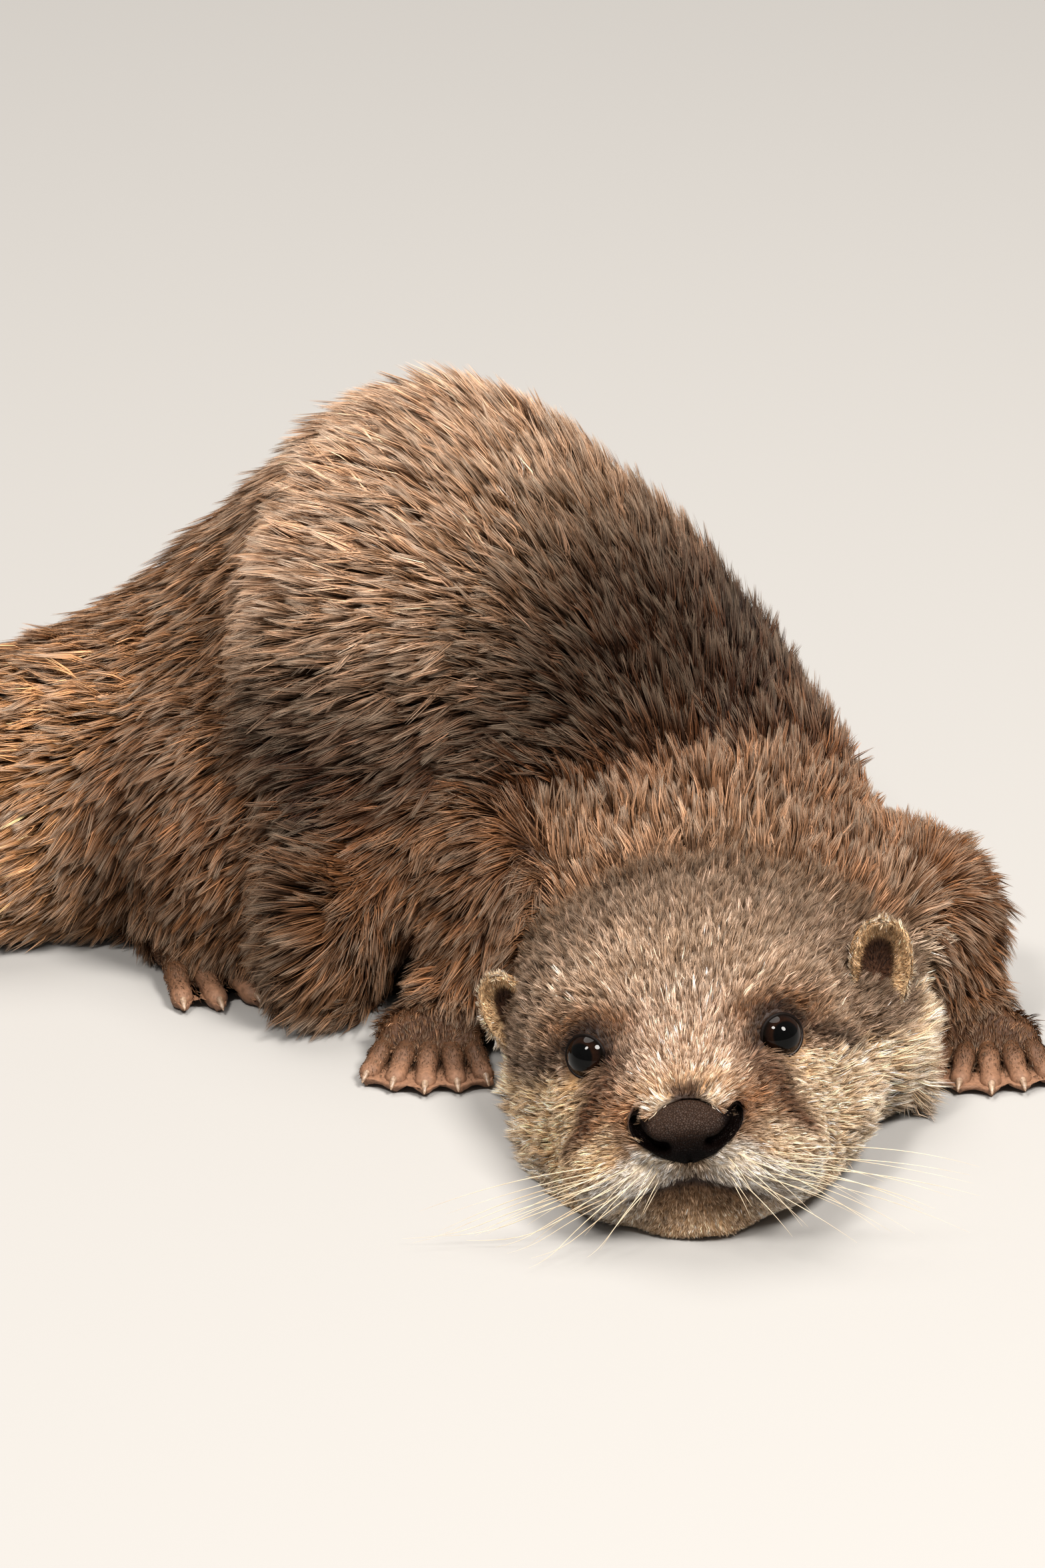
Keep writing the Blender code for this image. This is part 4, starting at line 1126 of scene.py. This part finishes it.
def growCoat(kind, settings, weights):
    # hairs are sown, drawn into locks, bent, coloured and parted from nose to tail into pieces
    _, amount = sowRoots(10, weights)  # a first small sowing gives the weighted area
    count = int(amount * settings["perCm2"] * 1e4)
    at, _ = sowRoots(count, weights)
    root, share = at(skinPoints), at(bodyShare)
    lock, shared = gather(root, count // settings["toLock"])
    clump, clumped = gather(root, max(count // settings["toLock"], 1) // blade["locksToClump"])

    def own(size):
        return rng.normal(0, size, count)

    points, strand = bendBlades(at, root, settings, (own, shared, clumped), (lock, clump))
    colour = colourBlades(at(markAndShadeColour), strand[:, :, 1:2], settings, own, shared)
    home = unwrap(root, share, at(bodySide), kind == "head", at(limbShare) > 0.5)
    uv = home[:, None] + blade["uvWidth"] * np.stack([strand[:, :, 0], strand[:, :, 1] * 2 - 1], -1)
    # two triangles between rows, and one from the last row to the tip
    rows, perBlade = len(settings["rows"]), points.shape[1]
    pattern = [three for k in range(0, 2 * rows - 2, 2) for three in ((k, k + 1, k + 3), (k, k + 3, k + 2))]
    pattern = np.array(pattern + [(2 * rows - 2, 2 * rows - 1, 2 * rows)])
    for number, chosen in enumerate(np.array_split(np.argsort(share, kind="stable"), settings["pieces"])):
        place, way, shade, flat = (values[chosen].reshape(-1, values.shape[-1])
                                   for values in (points, strand, np.clip(colour, 0, 1), uv))
        faces = (pattern[None] + (np.arange(len(chosen)) * perBlade)[:, None, None]).reshape(-1, 3)
        piece = makeObject(f"coat_{kind}_{number + 1}", place, faces, {"coatColour": shade},
                           {"strand": way}, uv=flat)
        piece.data.materials.append(coatFinish)
        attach(piece, "root")
    print("coat:", kind, "blades", count, "triangles", count * len(pattern))


limbShare = partOf(shares, "foreleg", "hindleg", "forepaw", "hindpaw")
coatFinish = coatMaterial()
hairWanted = coatDensity()
for kind, kindShare in kindShares().items():
    growCoat(kind, coatKinds[kind], hairWanted * kindShare)


# Eyes and lids.

def eyeMaterial():
    # near black with a faint brown ring, wet
    m = Nodes("wetEye", roughness=0.015, specular=0.145)
    ring = m.ramp(m.attribute("fromPupil", "Fac"), [
        (0.0, (0.001, 0.001, 0.001)), (0.34, (0.001, 0.001, 0.001)), (0.40, (0.010, 0.004, 0.002)),
        (0.52, (0.006, 0.0025, 0.0015)), (0.60, (0.002, 0.0015, 0.001))])
    streaks = m.noise(m.objectCoords(), 1500.0, detail=2.0)
    m.drive("Base Color", m.times(ring, m.greys(streaks, (0.3, 0.5), (0.7, 1.5)), share=0.5))
    return m.material


def lidMaterial():
    # lid skin in fine grain
    m = Nodes("eyeLid", roughness=0.55, specular=0.08)
    grain = m.noise(m.objectCoords(), 1400.0)
    m.drive("Base Color", m.times(m.attribute("lidColour"), m.greys(grain, (0.3, 0.7), (0.7, 1.2))))
    m.bump(grain, 0.0001, 0.5)
    return m.material


# the lid's section from under the ball's edge over a rounded rim and down under the skin, as degrees past
# the opening and millimetres over the ball; then how many degrees the opening gains at its corners and
# loses at its lids, the corners' places and widths in radians; then the dark lid, its pale lower rim, which
# is a painted highlight on the wet edge, and the fur round it
lids = {"turns": 72,
        "section": [(-1.5, -0.30), (0.0, 0.06), (1.0, 0.22), (2.6, 0.34), (5.5, 0.36), (9.5, 0.22),
                    (16.0, -0.35)],
        "innerCorner": (9, math.radians(198), 0.30), "outerCorner": (5, 0, 0.34), "upper": 4.5, "lower": 2.0,
        "dark": tint(13, 7, 5), "rim": tint(150, 142, 140), "fur": tint(50, 31, 19)}


def buildEyeball(side, label, finish):
    # radius + bulge exp(-(angle / bulgeWidth)^2), the angle taken from its own gaze
    centre, gaze, lateral, rise = eyeFrame(side)
    points, faces = ball(56, 40)
    angle = np.degrees(np.arccos(np.clip(points[:, 2], -1, 1)))
    radius = eyes["radius"] + eyes["bulge"] * np.exp(-(angle / eyes["bulgeWidth"]) ** 2)
    world = fromHead(centre + (points * radius[:, None]) @ np.stack([lateral, rise, gaze], 1).T)
    eye = makeObject(f"{label}_eyeball", world, faces[:, ::side], values={"fromPupil": angle / 90})
    eye.data.materials.append(finish)
    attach(eye, "root")
    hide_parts(f"{label}_eye")


def buildLid(side, label, finish):
    # a ring of the section carried round the opening, whose inner corner is long and narrow towards the
    # nose, its outer corner a little drawn and its upper lid lowered
    centre, gaze, lateral, rise = eyeFrame(side)
    around = circle(lids["turns"])[None, :]
    opening = eyes["opening"]
    for gain, corner, width in (lids["innerCorner"], lids["outerCorner"]):
        opening = opening + gain * bell(np.angle(np.exp(1j * (around - corner))), 0, width)
    opening = opening - lids["upper"] * np.clip(np.sin(around), 0, 1) ** 2
    opening = opening - lids["lower"] * np.clip(-np.sin(around), 0, 1) ** 2
    section = np.array(lids["section"])
    theta = np.radians(opening + section[:, :1])[..., None]
    far = eyes["radius"] + section[:, 1:] + 0 * around
    turned = np.cos(around)[..., None] * lateral + np.sin(around)[..., None] * rise
    direction = turned * np.sin(theta) + gaze * np.cos(theta)
    world = fromHead((centre + direction * far[..., None]).reshape(-1, 3))
    quads = gridFaces(len(section), lids["turns"])[:, ::-side]
    colour = np.array([lids["dark"]] * 5 + [lids["fur"]] * 2)[:, None] + np.zeros((1, lids["turns"], 1))
    # the pale lower rim is a painted highlight on the lid's wet edge
    below = np.clip(-np.sin(around - 0.3 * side), 0, 1)[0, :, None] ** 2
    colour[:2] += (lids["rim"] - colour[:2]) * np.array((0.75, 0.40))[:, None, None] * below  # wet lower rim
    lid = makeObject(f"{label}_lid", world, quads, colours={"lidColour": colour.reshape(-1, 3)})
    lid.data.materials.append(finish)
    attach(lid, "root")


ballFinish, lidFinish = eyeMaterial(), lidMaterial()
for side, label in ((1, "left"), (-1, "right")):
    buildEyeball(side, label, ballFinish)
    buildLid(side, label, lidFinish)
print("eyes and lids made")


# Nose pad.

def noseMaterial():
    # cracked nose leather: cells whose creases are darkened as painted shade, its own brown on top, and
    # painted shade below, at the sides and near black in the nostrils
    m = Nodes("noseLeather", roughness=0.42, specular=0.24)
    place = m.objectCoords()
    cells = m.add("ShaderNodeTexVoronoi", Vector=place, Scale=1950.0)
    cells.feature = "DISTANCE_TO_EDGE"
    crease = m.greys(cells.outputs["Distance"], (0.0, 0), (0.16, 1))
    grain = m.noise(place, 2600.0)
    worn = m.ramp(grain, [(0.3, (0.75, 0.75, 0.75)), (0.7, (1.25, 1.22, 1.2))])
    cracked = m.ramp(crease, [(0.0, (0.45, 0.42, 0.40)), (1.0, (1.05, 1.05, 1.05))])
    m.drive("Base Color", m.times(m.times(m.attribute("noseColour"), worn), cracked))
    m.bump(m.math("ADD", crease, grain), 0.00016, 0.8)
    m.drive("Roughness", m.greys(grain, (0.3, 0.34), (0.7, 0.52)))
    m.drive("Specular IOR Level", m.greys(m.attribute("noseColour"), (0.002, 0.03), (0.02, 0.16)))
    return m.material


def noseOutline():
    # the half outline and its mirror image as one ring of evenly shared points, smoothed three times
    half = np.array(nosePad["outline"])
    ring = np.concatenate([half, half[-2:0:-1] * (-1, 1)])
    knots = np.arange(len(ring) + 1)
    steps = np.linspace(0, len(ring), nosePad["turns"], endpoint=False)
    outline = np.stack([np.interp(steps, knots, np.append(ring[:, k], ring[0, k])) for k in range(2)], 1)
    for _ in range(3):
        outline = (np.roll(outline, 1, 0) + 2 * outline + np.roll(outline, -1, 0)) / 4
    return outline


def buildNose():
    # front: rho times the outline, y = slope z + lean z^2 less a bulge (1 - rho^2.6), and two comma-shaped
    # nostrils pressed in by depth exp(-(distance / halfWidth)^4); past its rim the edge turns back into the
    # muzzle, at the shares of the outline and the millimetres behind it that edge gives
    turns, narrow = nosePad["turns"], nosePad["nostrilHalfWidth"]
    edge, behind = np.array(nosePad["edge"]).T
    rho = np.concatenate([np.linspace(0.02, 1, nosePad["rings"]), edge])[:, None]
    middle = np.array((0.0, nosePad["middle"]))
    x, z = np.moveaxis(middle + (noseOutline()[None] - middle) * rho[..., None], -1, 0)
    high = z - nosePad["middle"]
    y = -nosePad["bulge"] * (1 - np.minimum(rho, 1) ** 2.6) + 0.2 + nosePad["slope"] * high + 0 * x
    y += (nosePad["lean"] + nosePad["middleLean"] * ease(np.abs(x), 8, 4)) * np.clip(high, 0, None) ** 2
    y[-len(behind):] += behind[:, None]
    folded = np.stack([np.abs(x), z], -1).reshape(-1, 2)
    distance = lineDistance(folded, nosePad["nostril"]).reshape(x.shape)
    pit = np.exp(-(distance / narrow) ** 4)
    rim = bell(distance, narrow * 1.9, 0.9) * (rho < 1.01)
    wing = ease(np.abs(x), 6.5, 10.5)
    y = y + nosePad["nostrilDepth"] * pit * (rho < 1.01) - nosePad["rim"] * rim
    y = y - nosePad["wing"] * wing * (1 - pit)
    y = y + nosePad["furrow"] * bell(x, 0, 0.55) * ease(z, -1.5, -4.5) * (rho <= 1)
    points = np.stack([x, y + noseWrap(x), z - 0.5 * noseWrap(x)], -1).reshape(-1, 3)
    points = np.concatenate([points, points[:turns].mean(0, keepdims=True)])
    faces = ringFaces(len(rho), turns)[:-turns]  # open at the back
    across, up = np.abs(x.ravel()), z.ravel()
    # painted shade: darker towards the bottom and the sides, and near black round the nostrils
    colour = painted(np.tile(nosePad["leather"], (x.size, 1)), (nosePad["low"], ease(up, 4.5, -0.5)),
                     (nosePad["side"], np.maximum(ease(up, 0.0, -3.2), ease(across, 6.8, 9.0))),
                     (nosePad["inside"], np.clip(bell(distance.ravel(), 0, 2.0) * 1.15, 0, 1)))
    colour = np.concatenate([colour, colour[:1]])
    nose = makeObject("nose_leather", fromHead(points), faces, colours={"noseColour": colour})
    nose.data.materials.append(noseMaterial())
    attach(nose, "root")
    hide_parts("nose_pad")


buildNose()
print("nose made")


# Whiskers and claws.

def hornMaterial(name, scale, dark, pale, stretch=None):
    # horn from dark to pale in a slow noise, stretched across the animal's height where stretch is given
    m = Nodes(name, roughness=0.35, specular=0.5)
    place = m.stretched(m.objectCoords(), stretch) if stretch else m.objectCoords()
    m.drive("Base Color", m.ramp(m.noise(place, scale), [(0.35, dark), (0.7, pale)]))
    return m.material


def tubes(paths, radii, sides=4):
    # a profile circle of the given radius carried along each path; every path has the same number of points
    paths = np.asarray(paths)
    count, steps, _ = paths.shape
    along = unit(np.gradient(paths, axis=1))
    first = unit(np.cross(along, (0.12, 0.31, 0.94)))  # any direction that no whisker takes
    second = np.cross(along, first)
    a = circle(sides)[:, None]
    profile = np.cos(a) * first[:, :, None, :] + np.sin(a) * second[:, :, None, :]
    points = paths[:, :, None, :] + profile * np.asarray(radii)[:, :, None, None]
    faces = gridFaces(steps, sides)[None] + (np.arange(count) * steps * sides)[:, None, None]
    return points.reshape(-1, 3), faces.reshape(-1, 4)


# lengths in millimetres, radius in metres; the first whisker's root beside and below the nose pad, the
# steps to the next place outwards and the next row down
whiskers = {"perSide": 24, "rows": 4, "longest": 42, "shortest": 9, "radius": 0.00013, "steps": 12,
            "first": (7.5, -6.0), "step": (2.5, -2.0), "before": -6.0, "bed": 0.004}


def buildWhiskers():
    # each leaves its pad outwards, forwards and down, and sags: P(t) = root + L (t out + droop t^2 down)
    body = np.count_nonzero(~isEar)
    surface = BVHTree.FromPolygons(skinPoints[:body].tolist(), skinFaces[(skinFaces < body).all(1)].tolist())
    longest, shortest, bed = whiskers["longest"], whiskers["shortest"], whiskers["bed"]
    t = np.linspace(0, 1, whiskers["steps"])[:, None]
    paths, radii = [], []
    for side in (-1, 1):
        for index in range(whiskers["perSide"]):
            row, place = index % whiskers["rows"], index // whiskers["rows"]
            x = whiskers["first"][0] + whiskers["step"][0] * place + rng.uniform(-0.6, 0.6)
            z = whiskers["first"][1] + whiskers["step"][1] * row + rng.uniform(-0.5, 0.5)
            start = fromHead([(x * side, whiskers["before"], z)])[0]
            hit = surface.ray_cast(Vector(start), Vector(headAxes @ (0, 1.0, 0)))
            base = np.array(hit[0]) if hit[0] is not None else start
            out = (0.30 + 0.13 * place + rng.uniform(-0.08, 0.08)) * side
            low = -0.34 + 0.06 * place - 0.07 * row + rng.uniform(-0.08, 0.08)
            aim = headAxes @ unit(np.array((out * 1.7, -0.62 + 0.12 * place, low)))
            reach = shortest + (longest - shortest) * min(1, place / 4.2) ** 0.8
            reach = reach / 1000 * rng.uniform(0.72, 1.05)
            path = base + reach * (t * aim + t ** 2 * (0, 0.05, -0.20) + t ** 2 * rng.uniform(-0.06, 0.06, 3))
            # near the floor it levels out
            floor = 0.0008 + 0.0012 * rng.random()
            eased = floor + bed * np.exp((path[:, 2] - floor - bed) / bed)
            path[:, 2] = np.where(path[:, 2] < floor + bed, eased, path[:, 2])
            paths.append(path)
            radii.append(whiskers["radius"] * rng.uniform(0.7, 1.1) * (1 - 0.88 * t[:, 0] ** 1.3))
    piece = makeObject("whiskers", *tubes(paths, radii))
    piece.data.materials.append(hornMaterial("whiskerHorn", 140.0, tint(196, 174, 142), tint(232, 218, 192)))
    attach(piece, "root")


buildWhiskers()

# in millimetres: the claw's length and radius, how far back in the toe it starts, its height and its drop;
# squash is its height as a share of its width
claws = {"length": 3.6, "radius": 0.80, "turns": 12, "rings": 9, "back": 1.6, "height": 3.0, "drop": 1.5,
         "squash": 0.85}


def buildClaws():
    # peg claws: radius (1 - t^1.8)^0.6 carried along a short down-curved line from the tip of each toe
    t = np.linspace(0, 0.985, claws["rings"])[:, None]
    radius = claws["radius"] * (1 - t[:, 0] ** 1.8) ** 0.6
    faces = ringFaces(claws["rings"], claws["turns"])
    pegs = []
    for start, aim, reach, _ in toeLines():
        tip = np.array((*(start + aim * (reach - claws["back"])), claws["height"]))
        line = tip + np.array((*aim, 0)) * (t * claws["length"])
        line = line + np.array((0, 0, -1.0)) * (t ** 2 * claws["drop"])
        pegs.append((carriedRings(line, radius, aim, claws["turns"], claws["squash"]), faces))
    piece = makeObject("claws", *joined(pegs))
    piece.data.materials.append(
        hornMaterial("clawHorn", 900.0, tint(112, 88, 70), tint(168, 142, 118), stretch=(1, 1, 3)))
    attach(piece, "root")


buildClaws()
print("whiskers and claws made")


# Floor, light and camera.

# each lamp's name, place from the chin in metres, size and watts
lights = {
    "sky": 0.24, "skyColour": (1.0, 0.97, 0.93), "lampColour": (1.0, 0.955, 0.90),
    "target": (-0.03, 0.09, 0.04),
    "lamps": [("key", (0.70, -0.60, 1.50), 0.60, 52),
              ("overhead", (-0.30, 0.60, 1.75), 1.3, 26),
              ("front", (-0.50, -0.62, 1.45), 0.35, 20)]}
stage = {"halfSize": 6.0, "colour": (0.325, 0.318, 0.31)}


def buildStage():
    # a plain level square
    size = stage["halfSize"]
    points = np.array([(-size, -size, 0), (size, -size, 0), (size, size, 0), (-size, size, 0)])
    floor = makeObject("floor", points, np.array([(0, 1, 2, 3)]), smooth=False)
    m = Nodes("paleFloor", roughness=0.85, specular=0.2, colour=stage["colour"])
    floor.data.materials.append(m.material)


def buildLights():
    # a pale sky and round lamps that all face the target
    world = bpy.data.worlds.new("studio")
    bpy.context.scene.world = world
    world.use_nodes = True
    sky = world.node_tree.nodes["Background"].inputs
    sky["Color"].default_value = (*lights["skyColour"], 1)
    sky["Strength"].default_value = lights["sky"]
    target = Vector(chin) + Vector(lights["target"])
    for name, place, size, watts in lights["lamps"]:
        data = bpy.data.lights.new(name, "AREA")
        data.color = lights["lampColour"]
        data.energy, data.size, data.shape = watts, size, "DISK"
        lamp = bpy.data.objects.new(name, data)
        lamp.location = Vector(chin) + Vector(place)
        lamp.rotation_mode = "QUATERNION"
        lamp.rotation_quaternion = (target - lamp.location).to_track_quat("-Z", "Y")
        bpy.context.scene.collection.objects.link(lamp)


# metres from the chin, degrees above it, lens and film in millimetres, and the aim off the chin in degrees
view = {"elevation": 28, "distance": 2.2, "lens": 237.97, "film": 36, "yaw": 1.025, "pitch": 2.443}


def buildCamera():
    # it aims a little left of the chin and above it
    data = bpy.data.cameras.new("camera")
    data.lens, data.sensor_width, data.clip_start, data.clip_end = view["lens"], view["film"], 0.05, 50
    camera = bpy.data.objects.new("camera", data)
    e = math.radians(view["elevation"])
    camera.location = Vector(chin) + Vector((0, -math.cos(e), math.sin(e))) * view["distance"]
    tilt = math.radians(90 - view["elevation"] + view["pitch"])
    camera.rotation_euler = (tilt, 0, math.radians(view["yaw"]))
    bpy.context.scene.collection.objects.link(camera)
    bpy.context.scene.camera = camera
    bpy.context.scene.view_settings.view_transform = "Standard"


buildStage()
buildLights()
buildCamera()

print("scene made")
